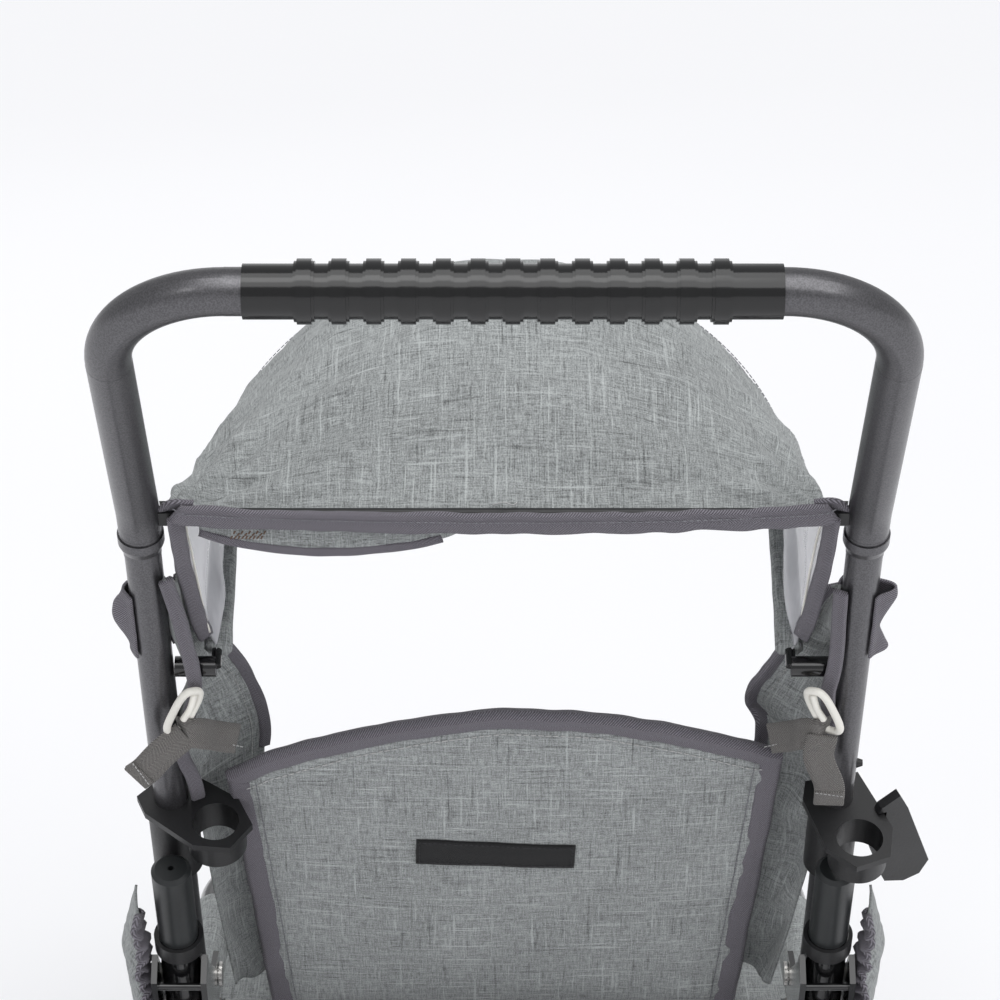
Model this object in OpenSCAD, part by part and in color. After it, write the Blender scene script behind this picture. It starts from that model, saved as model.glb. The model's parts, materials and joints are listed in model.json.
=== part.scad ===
// Folding doll stroller: three wheels, a push handle with lock sleeves, a hood with
// clear side windows, a padded seat and a storage basket.
// Front faces -Y, up is +Z, the ground is z = 0 and x = 0 is the middle plane.

/* [Overall] */
// Height of the push bar's axis above the ground
handle_h = 650; // [600:10:700]
// Distance between the axes of the two handle tubes
track_w = 330; // [300:5:360]
// Lean of the posts and lower handle tubes back from upright, degrees
lean = 26; // [22:1:30]
// Lean of the handle's upper part back from upright, degrees
top_lean = 39.5; // [34:0.5:42]

/* [Handle] */
// Diameter of the handle's upper tube
top_d = 20; // [18:0.5:22]
// Diameter of the handle's lower tubes
low_d = 17; // [15:0.5:17.5]
// Wall of every tube
wall = 1.2; // [1:0.1:1.6]
// Radius of the two upper corners, on the axis
corner_r = 52; // [45:1:60]
// Length from the lower tube's joint to the push bar's axis
top_len = 179; // [160:1:200]
// Length from the lock plate to the joint of the lower and upper tubes
low_len = 202; // [190:1:225]
// Length of the grip sleeve
grip_len = 218; // [190:2:222]
// Number of ribs round the grip
grip_ribs = 13; // [9:1:14]

/* [Frame] */
// Diameter of the black frame tubes
frame_d = 21; // [19:0.5:22]
// Distance from a handle tube's axis back to the post's axis
post_gap = 28; // [27:0.5:31]
// Depth of the fold pivot below the lock plate, along the tube
pivot_drop = 150; // [145:1:160]
// Length of the plug that stands on each post
plug_len = 54; // [44:1:56]
// Straight length of the frame's seat rails
rail_len = 120; // [110:2:150]

/* [Wheels] */
// Diameter of the rear wheels
rear_d = 150; // [130:2:156]
// Diameter of the front wheel
front_d = 130; // [110:2:132]
// Width of each tyre
tyre_w = 26; // [22:1:30]

/* [Seat and hood] */
// Half width of the seat back at its top
back_half = 137; // [120:1:138]
// Height of the seat back's top edge above the lock plate
back_top = 61; // [55:1:85]
// Depth of the seat cushion, front to back
seat_len = 165; // [145:5:165]
// Height of the hood's crown above its hem
hood_rise = 76; // [60:1:90]
// Reach of the hood in front of its hem
hood_reach = 235; // [200:5:260]

/* [Fits] */
// Radial running clearance of pins and axles in their bores
run_gap = 0.08; // [0.04:0.01:0.1]
// Clearance left between touching faces of different pieces
face_gap = 0.3; // [0.2:0.05:0.5]

/* [Hidden] */
$fn = 48;
half = track_w / 2;
top_r = top_d / 2;
low_r = low_d / 2;
frame_r = frame_d / 2;
// rise of the push bar above the lock plate, and its set back
bar_up = low_len * cos(lean) + top_len * cos(top_lean);
bar_back = low_len * sin(lean) + top_len * sin(top_lean);
plate_z = handle_h - bar_up;
rib_r = top_r + 3.4;
// the post: plug top, collar and where the tube starts to bend
plug_top = -22;
collar_s = plug_top - plug_len;
collar_h = 10;
bend_r = 70;
rail_turn = 90 - lean;
bend_s = -pivot_drop + 18;
post_len = collar_s - bend_s;
// the seat rails, where the bend has turned level
rail_s = bend_s - bend_r * sin(rail_turn);
rail_b = post_gap - bend_r * (1 - cos(rail_turn));
rail_z = plate_z + rail_s * cos(lean) - rail_b * sin(lean);
nose_r = 60;
rail_start = rail_s * sin(lean) + rail_b * cos(lean);
cross_dy = rail_start - rail_len - nose_r;
// the footrest reaches this far in front of the front cross tube
foot_reach = 74;
plate_y = (foot_reach - cross_dy - bar_back - rib_r) / 2;
cross_y = plate_y + cross_dy;
front_r = front_d / 2;
rear_r = rear_d / 2;
trail = 24;
hinge_y = plate_y - pivot_drop * sin(lean);
hinge_z = plate_z - pivot_drop * cos(lean);
// rear legs: pivot on the post beside the hinge, and the axle
leg_y = hinge_y + post_gap * cos(lean);
leg_z = hinge_z - post_gap * sin(lean);
axle_y = plate_y + 60;
leg_x = half - 27;
leg_r = 7;
axle_r = 4;
pin_r = 4;
stub_r = 3;
plate_t = 3;
plate_in = half - frame_r - 0.6 - plate_t;
wheel_x = half + 42;
hub_w = 36;
// lock sleeves: second bore, its wall, and how far each is turned aside at rest
lock_bore = 11.5;
lock_wall = 3;
lock_h = 18;
skirt_h = 52;
turn_l = 55;
turn_r = 21;
// seat cushion
seat_top = hinge_z - 14;
seat_t = 16;
seat_y0 = rail_start + plate_y + 6;
// hood
hood_half = half - top_r - 8;
hood_s = low_len + 2;
cloth = 1.4;
// how much thinner a tube's radius is round its bends
draw_in = 0.06;

// ---- placing ----

// Origin at the lock plate's middle, +Z up the lower tubes, +Y towards the back.
module on_post() {
    translate([0, plate_y, plate_z]) rotate([-lean, 0, 0]) children();
}

// Draws a left piece as it is, and a right piece mirrored.
module side(s) {
    if (s > 0) children();
    if (s < 0) mirror([1, 0, 0]) children();
}

// ---- tubes ----

module pipe(length, r, w) {
    difference() {
        cylinder(h = length, r = r);
        translate([0, 0, -1]) cylinder(h = length + 2, r = r - w);
    }
}

// A bent bar that starts upward at the origin and curves towards +Y. Bending draws it in,
// so it is a little thinner than the straight bar of radius r that it joins.
module elbow(radius, turn, r) {
    rotate([90, 0, -90])
        translate([-radius, 0, 0])
            rotate_extrude(angle = turn)
                translate([radius, 0]) circle(r - draw_in);
}

// Moves to the far end of that elbow.
module past_elbow(radius, turn) {
    translate([0, radius * (1 - cos(turn)), radius * sin(turn)])
        rotate([-turn, 0, 0])
            children();
}

// A round bar between two points.
module rod(p, q, r) {
    d = q - p;
    l = norm(d);
    translate(p)
        rotate([0, acos(d[2] / l), atan2(d[1], d[0])])
            cylinder(h = l, r = r);
}

// A disc along X, centred on x.
module disc(x, y, z, r, w) {
    translate([x - w / 2, y, z]) rotate([0, 90, 0]) cylinder(h = w, r = r);
}

// A closed solid between two grids of points: a is one face and b the other.
module slab(a, b) {
    n = len(a);
    m = len(a[0]);
    k = n * m;
    pts = concat([for (row = a) for (p = row) p], [for (row = b) for (p = row) p]);
    skins = [
        for (i = [0:n - 2]) for (j = [0:m - 2])
            let (c = i * m + j, d = c + m)
                each [
                    [c, d, d + 1], [c, d + 1, c + 1],
                    [k + c, k + d + 1, k + d], [k + c, k + c + 1, k + d + 1]
                ]
    ];
    long_rims = [
        for (i = [0:n - 2])
            let (c = i * m, d = c + m, e = c + m - 1, f = d + m - 1)
                each [
                    [d, c, k + c], [d, k + c, k + d],
                    [e, f, k + f], [e, k + f, k + e]
                ]
    ];
    end_rims = [
        for (j = [0:m - 2])
            let (c = j, d = (n - 1) * m + j)
                each [
                    [c, c + 1, k + c + 1], [c, k + c + 1, k + c],
                    [d + 1, d, k + d], [d + 1, k + d, k + d + 1]
                ]
    ];
    polyhedron(points = pts, faces = concat(skins, long_rims, end_rims), convexity = 6);
}

// ---- black frame ----

// Black tube: a post that takes its plug's spigot, a bend, a level seat rail and a corner
// to the front cross tube. Its bends are solid.
module side_tube(s) {
    bore = frame_r - wall;
    color("#151517")
        side(s) on_post() translate([half, post_gap, collar_s]) rotate([180, 0, 0])
            difference() {
                union() {
                    cylinder(h = post_len, r = frame_r);
                    translate([0, 0, post_len]) {
                        elbow(bend_r, rail_turn, frame_r);
                        past_elbow(bend_r, rail_turn) {
                            cylinder(h = rail_len, r = frame_r);
                            translate([0, 0, rail_len]) rotate([0, 0, 90])
                                elbow(nose_r, 90, frame_r);
                        }
                    }
                }
                translate([0, 0, -1]) cylinder(h = 41, r = bore);
            }
}

// Rounded plug that a lock sleeve drops over, with a spigot in the post.
module plug(s) {
    chamfer = 2;
    color("#1c1c1f")
        side(s) on_post() translate([half, post_gap, 0]) difference() {
            union() {
                translate([0, 0, collar_s]) cylinder(h = plug_len - chamfer, r = 10);
                translate([0, 0, plug_top - chamfer])
                    cylinder(h = chamfer, r1 = 10, r2 = 10 - chamfer);
                translate([0, 0, collar_s - 14])
                    cylinder(h = 14, r = frame_r - wall - 0.05);
            }
            translate([0, 0, plug_top - 20]) cylinder(h = 21, r = 1.5);
        }
}

module collar(s) {
    color("#101012")
        side(s) on_post() translate([half, post_gap, collar_s - collar_h]) difference() {
            cylinder(h = collar_h, r = frame_r + 2);
            translate([0, 0, -1]) cylinder(h = collar_h + 2, r = frame_r + 0.05);
        }
}

// One flat plate beside the tubes, drawn at x.
module hinge_plate(x) {
    y0 = -9;
    y1 = post_gap + frame_r + 8;
    translate([x, 0, 0]) rotate([90, 0, 90]) linear_extrude(height = plate_t)
        polygon([
            [y1 - 14, -pivot_drop + 62], [y1, -pivot_drop + 56],
            [y1, -pivot_drop - 4], [y1 - 8, -pivot_drop - 12],
            [y0 + 5, -pivot_drop - 12], [y0, -pivot_drop - 6],
            [y0, -pivot_drop + 8], [8, -pivot_drop + 16], [y1 - 18, -pivot_drop + 50]
        ]);
}

// Two plates on each post: the handle tube turns between them.
module hinge_plates(s) {
    color("#1a1a1d")
        side(s) on_post() difference() {
            union() {
                hinge_plate(plate_in);
                hinge_plate(half + frame_r + 0.6);
                // rivets that join the plates through the post's outside
                for (z = [-pivot_drop + 48, -pivot_drop + 22])
                    translate([plate_in, post_gap + frame_r + 4, z])
                        rotate([0, 90, 0]) cylinder(h = 2 * (half - plate_in), r = 2);
            }
            translate([plate_in - 1, 0, -pivot_drop])
                rotate([0, 90, 0]) cylinder(h = 60, r = pin_r + run_gap);
            // the rear leg turns in the inner plate only
            translate([plate_in - 1, post_gap, -pivot_drop])
                rotate([0, 90, 0]) cylinder(h = plate_t + 1.2, r = stub_r + run_gap);
        }
}

// The fold pivot: a headed pin through both plates and the handle tube.
module hinge_pin(s) {
    head = 1.6;
    color("#9a9a9c")
        side(s) on_post() translate([0, 0, -pivot_drop]) {
            disc(half, 0, 0, pin_r, 2 * (half - plate_in) + 1);
            disc(plate_in - 0.5 - head / 2, 0, 0, 6.5, head);
            disc(2 * half - plate_in + 0.5 + head / 2, 0, 0, 6.5, head);
        }
}

module front_cross() {
    reach = half - nose_r;
    sleeve = 17;
    color("#151517")
        translate([0, cross_y, rail_z]) for (s = [-1, 1])
            translate([s > 0 ? sleeve : -reach, 0, 0])
                rotate([0, 90, 0]) pipe(reach - sleeve, frame_r, wall);
}

// Moulded block on the cross tube that holds the swivel.
module steer_head() {
    stem_r = 6;
    color("#222226")
        translate([0, cross_y, rail_z]) difference() {
            union() {
                disc(0, 0, 0, frame_r + 3, 64);
                translate([0, 0, -22]) cylinder(h = 44, r = 17);
                translate([0, 0, 22]) cylinder(h = 4, r1 = 17, r2 = 12);
            }
            for (s = [-1, 1])
                translate([s > 0 ? 17 : -57, 0, 0])
                    rotate([0, 90, 0]) cylinder(h = 40, r = frame_r + 0.05);
            translate([0, 0, -23]) cylinder(h = 42, r = stem_r + run_gap);
        }
}

module footrest() {
    foot_w = 150;
    arm_x = 46;
    deck = foot_reach - 22;
    color("#2a2a2e")
        translate([0, cross_y, rail_z]) difference() {
            union() {
                translate([-foot_w / 2, -foot_reach, -8]) cube([foot_w, deck, 4]);
                for (i = [0:5])
                    translate([-foot_w / 2 + 8, -foot_reach + 6 + i * (deck - 12) / 5 - 1, -4])
                        cube([foot_w - 16, 2, 1.4]);
                translate([-foot_w / 2, -foot_reach, -4]) cube([foot_w, 4, 10]);
                for (s = [-1, 1]) {
                    translate([s * arm_x - 7, -foot_reach + deck - 12, -8]) cube([14, 34, 8]);
                    disc(s * arm_x, 0, 0, frame_r + 3.5, 14);
                }
            }
            disc(0, 0, 0, frame_r + 0.05, foot_w);
        }
}

// ---- seat ----

// Sling of cloth between the rails that carries the cushion.
module seat_deck() {
    reach = half - frame_r - 4;
    // it ends where the rails begin to bend inward
    deck_len = rail_len - 2;
    y1 = seat_y0 - deck_len;
    top = seat_top - seat_t - face_gap;
    color("#8d9494") {
        translate([-reach, y1, top - 3]) cube([2 * reach, deck_len, 3]);
        for (s = [-1, 1])
            side(s) translate([half, seat_y0 - 4, rail_z]) rotate([90, 0, 0]) difference() {
                union() {
                    cylinder(h = deck_len - 8, r = frame_r + 2);
                    translate([-frame_r - 5, -1, 0])
                        cube([6, top - rail_z + 1, deck_len - 8]);
                }
                translate([0, 0, -1]) cylinder(h = deck_len, r = frame_r + 0.1);
            }
    }
}

function pad_edge(t, r) = r * (1 - sqrt(max(0, 1 - pow(max(0, 1 - t), 2))));

// Crowned cushion: thick in the middle and rounded down to its edges.
module seat_cushion() {
    n = 12;
    w = back_half - 14;
    y1 = seat_y0 - seat_len + 2;
    l = seat_len - 6;
    top = [
        for (i = [0:n]) [
            for (j = [0:n])
                let (u = i / n, v = j / n, e = 16 * min(u, 1 - u, v, 1 - v))
                    [-w + 2 * w * u, y1 + l * v,
                     seat_top - pad_edge(e, seat_t * 0.42) + 2 * sin(180 * u) * sin(180 * v)]
        ]
    ];
    low = [
        for (i = [0:n]) [
            for (j = [0:n])
                let (u = i / n, v = j / n, e = 16 * min(u, 1 - u, v, 1 - v))
                    [-w + 2 * w * u, y1 + l * v, seat_top - seat_t + pad_edge(e, seat_t * 0.42)]
        ]
    ];
    color("#8a9192") slab(low, top);
}

// Storage basket under the seat: a sagging cloth tub, open at the top.
basket_w = leg_x - leg_r - 4;
basket_y0 = hinge_y - 108;
basket_y1 = hinge_y + 40;

function basket_pt(u, v, t) =
    let (
        a = 180 * v,
        deep = (66 - t) * pow(sin(180 * u), 0.4) * pow(sin(a), 0.45),
        y0 = basket_y0 + t,
        y1 = basket_y1 - t
    )
        [-(basket_w - t) * cos(a), y0 + (y1 - y0) * u, rail_z - 14 - deep];

module basket() {
    n = 14;
    m = 22;
    outer = [for (i = [0:n]) [for (j = [0:m]) basket_pt(i / n, j / m, 0)]];
    inner = [for (i = [0:n]) [for (j = [0:m]) basket_pt(i / n, j / m, cloth)]];
    color("#868d8e") slab(inner, outer);
}

// Elastic-gathered side panel outside each post.
module skirt(s) {
    n = 14;
    m = 8;
    function pt(u, v, t) =
        let (
            z = collar_s + 22 - 108 * u,
            bulge = 22 * pow(sin(180 * (0.12 + 0.76 * u)), 0.8) * sin(90 * v),
            y = post_gap + 4 - (18 + 24 * u) * v
        )
            [half + frame_r + 8 + bulge + 1.2 * sin(1080 * u) * cos(90 * v) + t, y, z];
    near = [for (i = [0:n]) [for (j = [0:m]) pt(i / n, j / m, 0)]];
    far = [for (i = [0:n]) [for (j = [0:m]) pt(i / n, j / m, cloth)]];
    color("#868d8e") side(s) on_post() slab(far, near);
}

module lap_belt() {
    color("#7a7673")
        for (s = [-1, 1])
            side(s) translate([0, seat_y0 - 52, seat_top + 3.2]) {
                translate([16, -10, 0]) cube([back_half - 42, 20, 1.6]);
            }
}

module crotch_strap() {
    color("#7a7673")
        translate([-10, seat_y0 - 52 - 78, seat_top + 3.2]) cube([20, 62, 1.6]);
}

module buckle() {
    color("#26262a")
        translate([0, seat_y0 - 52, seat_top + 3.2]) difference() {
            union() {
                translate([-14, -13, -0.6]) cube([28, 26, 7]);
                translate([0, 0, 6.4]) cylinder(h = 1.4, r = 7);
            }
            for (s = [-1, 1]) translate([s * 14 - 3, -10.4, -0.1]) cube([6, 20.8, 2]);
            translate([-10.4, -14, -0.1]) cube([20.8, 2, 2]);
        }
}

// ---- handle ----

ring_drop = 16;

// Gunmetal upper tube: two legs, two corners and the push bar in one bent tube. Its legs
// are bored for the lower tubes' spigots and the rest is solid.
module handle_tube() {
    knee = 9;
    knee_r = knee / tan((top_lean - lean) / 2);
    leg = top_len - corner_r - knee;
    color("#4b4b50")
        on_post() difference() {
            union() {
                for (s = [-1, 1])
                    side(s) translate([half, 0, low_len - ring_drop]) {
                        cylinder(h = ring_drop - knee, r = top_r);
                        translate([0, 0, ring_drop - knee]) {
                            elbow(knee_r, top_lean - lean, top_r);
                            past_elbow(knee_r, top_lean - lean) {
                                cylinder(h = leg, r = top_r);
                                translate([0, 0, leg]) rotate([0, 0, 90])
                                    elbow(corner_r, 90, top_r);
                            }
                        }
                    }
                translate([0, 0, low_len]) rotate([lean - top_lean, 0, 0])
                    translate([corner_r - half, 0, top_len])
                        rotate([0, 90, 0]) cylinder(h = 2 * (half - corner_r), r = top_r);
            }
            for (s = [-1, 1])
                translate([s * half, 0, low_len - ring_drop - 1])
                    cylinder(h = 15, r = top_r - wall);
        }
}

// Lower tube, telescoped into the upper one and turning on the fold pivot.
module lower_tube(s) {
    tail = 9;
    color("#47474c")
        side(s) on_post() translate([half, 0, 0]) difference() {
            union() {
                translate([0, 0, -pivot_drop - tail])
                    pipe(pivot_drop + tail + low_len - 14, low_r, wall);
                translate([0, 0, -pivot_drop - tail]) cylinder(h = 24, r = low_r - 0.4);
                translate([0, 0, low_len - ring_drop - 8])
                    cylinder(h = 20, r = top_r - wall - 0.05);
            }
            translate([-12, 0, -pivot_drop])
                rotate([0, 90, 0]) cylinder(h = 24, r = pin_r + run_gap);
        }
}

// Crimped ring at the joint of the two tubes.
module joint_ring(s) {
    color("#3d3d42")
        side(s) on_post() translate([half, 0, low_len - ring_drop]) difference() {
            union() {
                cylinder(h = 5, r = top_r + 0.7);
                translate([0, 0, -4]) cylinder(h = 4, r1 = low_r + 0.8, r2 = top_r + 0.7);
            }
            translate([0, 0, -0.05]) cylinder(h = 6, r = top_r + 0.05);
            translate([0, 0, -5]) cylinder(h = 6, r = top_r - wall + 0.02);
        }
}

// The bar's own frame: origin on its middle, +X along it, +Z up the upper tubes.
module on_bar() {
    translate([0, plate_y + bar_back, handle_h]) rotate([-top_lean, 0, 0]) children();
}

// Moulded grip sleeve with ribs, on the bar's straight part.
module grip() {
    shift = -3.5;
    pitch = 14;
    rib_w = 6;
    color("#0c0c0e")
        on_bar() difference() {
            union() {
                disc(shift, 0, 0, top_r + 1.35, grip_len);
                for (i = [0:grip_ribs - 1])
                    translate([shift + (i - (grip_ribs - 1) / 2) * pitch, 0, 0]) {
                        disc(0, 0, 0, rib_r, rib_w);
                        disc(0, 0, 0, rib_r - 1, rib_w + 2.4);
                    }
            }
            disc(0, 0, 0, top_r + 0.05, 2 * half);
        }
}

// Small stop button on the outside of each lower tube, just above the lock sleeve.
module nubs() {
    color("#17171a")
        for (s = [-1, 1]) side(s) on_post() translate([half + low_r - 0.2, 0, 26]) difference() {
            rotate([0, 90, 0]) cylinder(h = 3, r1 = 2.6, r2 = 1.6);
            translate([-low_r + 0.2, 0, -5]) cylinder(h = 10, r = low_r + 0.02);
        }
}

// Rod across the handle that the hood's hem hangs on, with a flat tab at each end.
module hood_rod() {
    reach = half - top_r - 1.2;
    color("#141416")
        on_post() translate([0, 0, low_len + 1]) {
            disc(0, 0, 0, 2.5, 2 * reach);
            for (s = [-1, 1])
                side(s) difference() {
                    translate([reach - 7, -4, -4]) cube([9, 8, 8]);
                    translate([half, 0, -5]) cylinder(h = 10, r = top_r + 0.25);
                }
        }
}

// ---- seat back and side cloth ----

// Half width of the seat back at height s on the post.
function back_w(s) = back_half - 18 * (back_top - s) / (back_top + pivot_drop);

// Height of the back's top edge at u across it, 0 to 1.
function back_rise(u) = back_top - 32 * pow(abs(2 * u - 1), 1.8);

module seat_back() {
    n = 14;
    low = -pivot_drop - 5;
    function pt(i, j, f) =
        let (
            u = i / n, v = j / n,
            z = low + (back_rise(v) - low) * u,
            e = 18 * min(u, 1 - u, v, 1 - v),
            puff = 5 - pad_edge(e, 4)
        )
            [(2 * v - 1) * back_w(z), -2 + f * puff, z];
    front = [for (i = [0:n]) [for (j = [0:n]) pt(i, j, -1)]];
    rear = [for (i = [0:n]) [for (j = [0:n]) pt(i, j, 1)]];
    color("#8b9293") on_post() slab(front, rear);
}

module back_patch() {
    color("#141416")
        on_post() translate([4, 3.5, -38]) rotate([90, 0, 0]) translate([0, 0, -1])
            linear_extrude(height = 1) square([80, 18], center = true);
}

// Side wing: cloth from the seat back's edge forward and up to the tube.
module wing(s) {
    n = 16;
    m = 6;
    function pt(i, j, t) =
        let (
            u = i / n, v = j / m,
            z = -pivot_drop + 34 + (pivot_drop + 98) * u,
            deep = 14 + 62 * pow(1 - u, 0.7),
            edge = u < 0.75 ? back_w(z) + 3 : back_w(back_top) + 3 + 9 * (u - 0.75) / 0.25,
            x = edge + 4 * sin(90 * v) + 3 * sin(360 * u) * v
        )
            [x + t, -7 - deep * v, z - (0.5 * deep * (1 - u) + 34 * u) * v];
    near = [for (i = [0:n]) [for (j = [0:m]) pt(i, j, 0)]];
    far = [for (i = [0:n]) [for (j = [0:m]) pt(i, j, cloth)]];
    color("#8b9293") side(s) on_post() slab(near, far);
}

// Open clip: an oblong ring that joins the strap to the tube's wrap.
module clip(s) {
    color("#f1efe8")
        side(s) on_post() translate([half - 13, 12, 84]) rotate([0, 24, 0]) difference() {
            union() {
                for (e = [-1, 1]) translate([0, 1.6, e * 12]) rotate([90, 0, 0])
                    cylinder(h = 3.2, r = 6);
                translate([-6, -1.6, -12]) cube([12, 3.2, 24]);
            }
            for (e = [-1, 1]) translate([0, 3, e * 12]) rotate([90, 0, 0])
                cylinder(h = 6, r = 3.4);
            translate([-3.4, -3, -12]) cube([6.8, 6, 24]);
        }
}

module strap(s) {
    color("#7a7673")
        side(s) on_post() translate([back_half - 12, 8.8, 46])
            rotate([0, 36, 0]) translate([-1, -0.8, 0]) cube([15, 1.6, 36]);
}

// Cloth loop round the tube.
module wrap(s) {
    color("#6d6a73")
        side(s) on_post() translate([half, 0, 112]) difference() {
            union() {
                cylinder(h = 42, r = low_r + 2);
                translate([low_r - 2, -2, 0]) cube([9, 4, 42]);
            }
            translate([0, 0, -1]) cylinder(h = 44, r = low_r + 0.3);
        }
}

// ---- hood ----

// The bow's pivot on the handle tubes, in the hood's frame, and the top of its arch.
bow_s = 98;
pivot_y = (bow_s - low_len) * sin(lean);
pivot_z = (bow_s - low_len) * cos(lean);
brow_z = 0.6 * hood_rise;
bow_tilt = atan2(hood_reach + pivot_y, brow_z - pivot_z);
bow_len = (brow_z - pivot_z) / cos(bow_tilt);
// where the hood's side edge meets the bow, as a part of the bow's length
bow_low = 0.38;

// A point on the hood: u runs from the hem to the bow, v over the arch.
function hood_pt(u, v, t) =
    let (
        a = 180 * v,
        up = sin(a),
        q = bow_low + (1 - bow_low) * up,
        w = hood_half - 5 * u - t,
        y0 = -15,
        z0 = -7 + 9 * up,
        y1 = pivot_y - bow_len * q * sin(bow_tilt),
        z1 = pivot_z + bow_len * q * cos(bow_tilt),
        crown = 0.6 * hood_rise * sin(180 * u) * pow(up, 1.35)
    )
        [-w * cos(a), y0 + (y1 - y0) * u, z0 + (z1 - z0) * u + crown - t * up];

// The hood's own frame: level, with its origin on the rear rod.
module on_hood() {
    translate([0, plate_y + low_len * sin(lean), plate_z + low_len * cos(lean)]) children();
}

module hood() {
    n = 12;
    m = 28;
    outer = [for (i = [0:n]) [for (j = [0:m]) hood_pt(i / n, j / m, 0)]];
    inner = [for (i = [0:n]) [for (j = [0:m]) hood_pt(i / n, j / m, cloth)]];
    color("#8e9696") on_hood() slab(outer, inner);
}

// Clear side window of the hood: a triangle that runs down to the bow's pivot.
module window(s) {
    n = 10;
    m = 6;
    foot = [pivot_y - 9, pivot_z + 3];
    back = [-16, -9];
    fore = [
        pivot_y - bow_len * bow_low * sin(bow_tilt) + 4,
        pivot_z + bow_len * bow_low * cos(bow_tilt) - 4
    ];
    function pt(i, j, t) =
        let (
            u = 0.05 + 0.95 * i / n, v = j / m,
            top = back + (fore - back) * v,
            p = foot + (top - foot) * u,
            sag = 9 * sin(180 * u) * (1 - v)
        )
            [hood_half - 4 - 2.5 * sin(180 * v) * u + t, p[0] - sag, p[1]];
    near = [for (i = [0:n]) [for (j = [0:m]) pt(i, j, 0)]];
    far = [for (i = [0:n]) [for (j = [0:m]) pt(i, j, 0.8)]];
    color("#cfd2d4") side(s) on_hood() slab(near, far);
}

// Bow: a bent rod that turns on the handle tubes and spreads the hood.
module hood_bow() {
    bow_r = 2.5;
    arch_r = hood_half - 10.5;
    leg = bow_len - arch_r - 6.5;
    stud = half - low_r - 0.6 - arch_r;
    color("#1b1b1e")
        on_hood() translate([0, pivot_y, pivot_z]) rotate([bow_tilt, 0, 0]) {
            for (s = [-1, 1]) side(s) {
                translate([arch_r, 0, 0]) cylinder(h = leg, r = bow_r);
                translate([arch_r, 0, 0]) rotate([0, 90, 0]) cylinder(h = stud, r = 5);
            }
            translate([arch_r, 0, leg]) rotate([0, 0, 90]) elbow(arch_r, 180, bow_r);
        }
}

// ---- lock sleeves ----

// Two-bore sleeve: one bore turns on the handle tube, the other fits the plug.
module lock_head() {
    difference() {
        union() {
            translate([0, 0, -lock_h]) cylinder(h = lock_h, r = low_r + 4);
            translate([0, post_gap, -lock_h]) cylinder(h = lock_h, r = lock_bore + lock_wall);
            translate([-low_r - 1, 0, -lock_h]) cube([2 * low_r + 2, post_gap - 8, lock_h]);
            // top plate, wider than the tubes
            translate([0, 0, -4]) linear_extrude(height = 4)
                polygon([
                    [-17, -10], [10, -14], [16, -4], [18, post_gap],
                    [9, post_gap + 16], [-9, post_gap + 16], [-18, post_gap]
                ]);
        }
        translate([0, 0, -lock_h - 1]) cylinder(h = lock_h + 2, r = low_r + run_gap);
        translate([0, post_gap, -lock_h - 1]) cylinder(h = lock_h + 2, r = lock_bore);
    }
}

module lock_sleeve(s) {
    color("#1e1e21")
        on_post() translate([s * half, 0, 0])
            rotate([0, 0, s > 0 ? turn_l : turn_r]) lock_head();
}

// The sleeve's lower tube, which slides and turns on the handle tube.
module lock_skirt(s) {
    color("#1e1e21")
        on_post() translate([s * half, 0, -skirt_h]) difference() {
            cylinder(h = skirt_h - lock_h, r = low_r + 4);
            translate([0, 0, -1]) cylinder(h = skirt_h, r = low_r + run_gap);
        }
}

// Thumb paddle on the right sleeve.
module lock_paddle() {
    color("#1e1e21")
        on_post() translate([-half, 0, 0]) rotate([0, 0, turn_r]) difference() {
            translate([-post_gap - 32, post_gap - 9, 0]) rotate([0, -14, 0])
                translate([0, 0, -66]) rotate([90, 0, 0]) linear_extrude(height = 5)
                    polygon([
                        [2, 4], [10, 0], [22, 2], [46, 40], [44, 60], [36, 68], [28, 58],
                        [0, 14]
                    ]);
            cylinder(h = 300, r = low_r + 4.1, center = true);
            translate([0, post_gap, -150]) cylinder(h = 300, r = lock_bore + lock_wall);
            translate([-19, -20, -4.05]) cube([60, 80, 5]);
        }
}

// ---- rear legs and wheels ----

module rear_leg(s) {
    eye = 9;
    stub_len = plate_in + plate_t + 0.4 - leg_x;
    color("#151517")
        side(s) difference() {
            union() {
                rod([leg_x, leg_y, leg_z], [leg_x, axle_y, rear_r], leg_r);
                disc(leg_x, leg_y, leg_z, eye, 2 * leg_r + 2);
                disc(leg_x, axle_y, rear_r, eye + 2, 2 * leg_r + 2);
                disc(leg_x + stub_len / 2, leg_y, leg_z, stub_r, stub_len);
            }
            disc(leg_x, axle_y, rear_r, axle_r + 0.05, 40);
        }
}

module rear_axle() {
    cap = 2;
    color("#8f8f92") {
        disc(0, axle_y, rear_r, axle_r, 2 * (wheel_x + hub_w / 2) + 1);
        for (s = [-1, 1])
            disc(s * (wheel_x + hub_w / 2 + 0.5 + cap / 2), axle_y, rear_r, 8, cap);
    }
}

// Brace between the rear legs.
module leg_brace() {
    t = 0.62;
    color("#151517")
        disc(0, leg_y + (axle_y - leg_y) * t, leg_z + (rear_r - leg_z) * t, 5,
             2 * (leg_x - leg_r - 0.05));
}

// Moulded wheel: hub, spokes and rim, with the axle's bore through the hub.
module rim(r, w, spokes, bore) {
    rim_r = r - 15;
    rotate([0, 90, 0]) difference() {
        union() {
            difference() {
                translate([0, 0, -w * 0.42]) cylinder(h = w * 0.84, r = rim_r);
                translate([0, 0, -w]) cylinder(h = 2 * w, r = rim_r - 5);
            }
            translate([0, 0, -hub_w / 2]) cylinder(h = hub_w, r = 13);
            for (i = [0:spokes - 1])
                rotate([0, 0, i * 360 / spokes]) translate([8, -4.5, -5])
                    cube([rim_r - 11, 9, 10]);
        }
        translate([0, 0, -hub_w]) cylinder(h = 2 * hub_w, r = bore + run_gap);
    }
}

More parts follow.
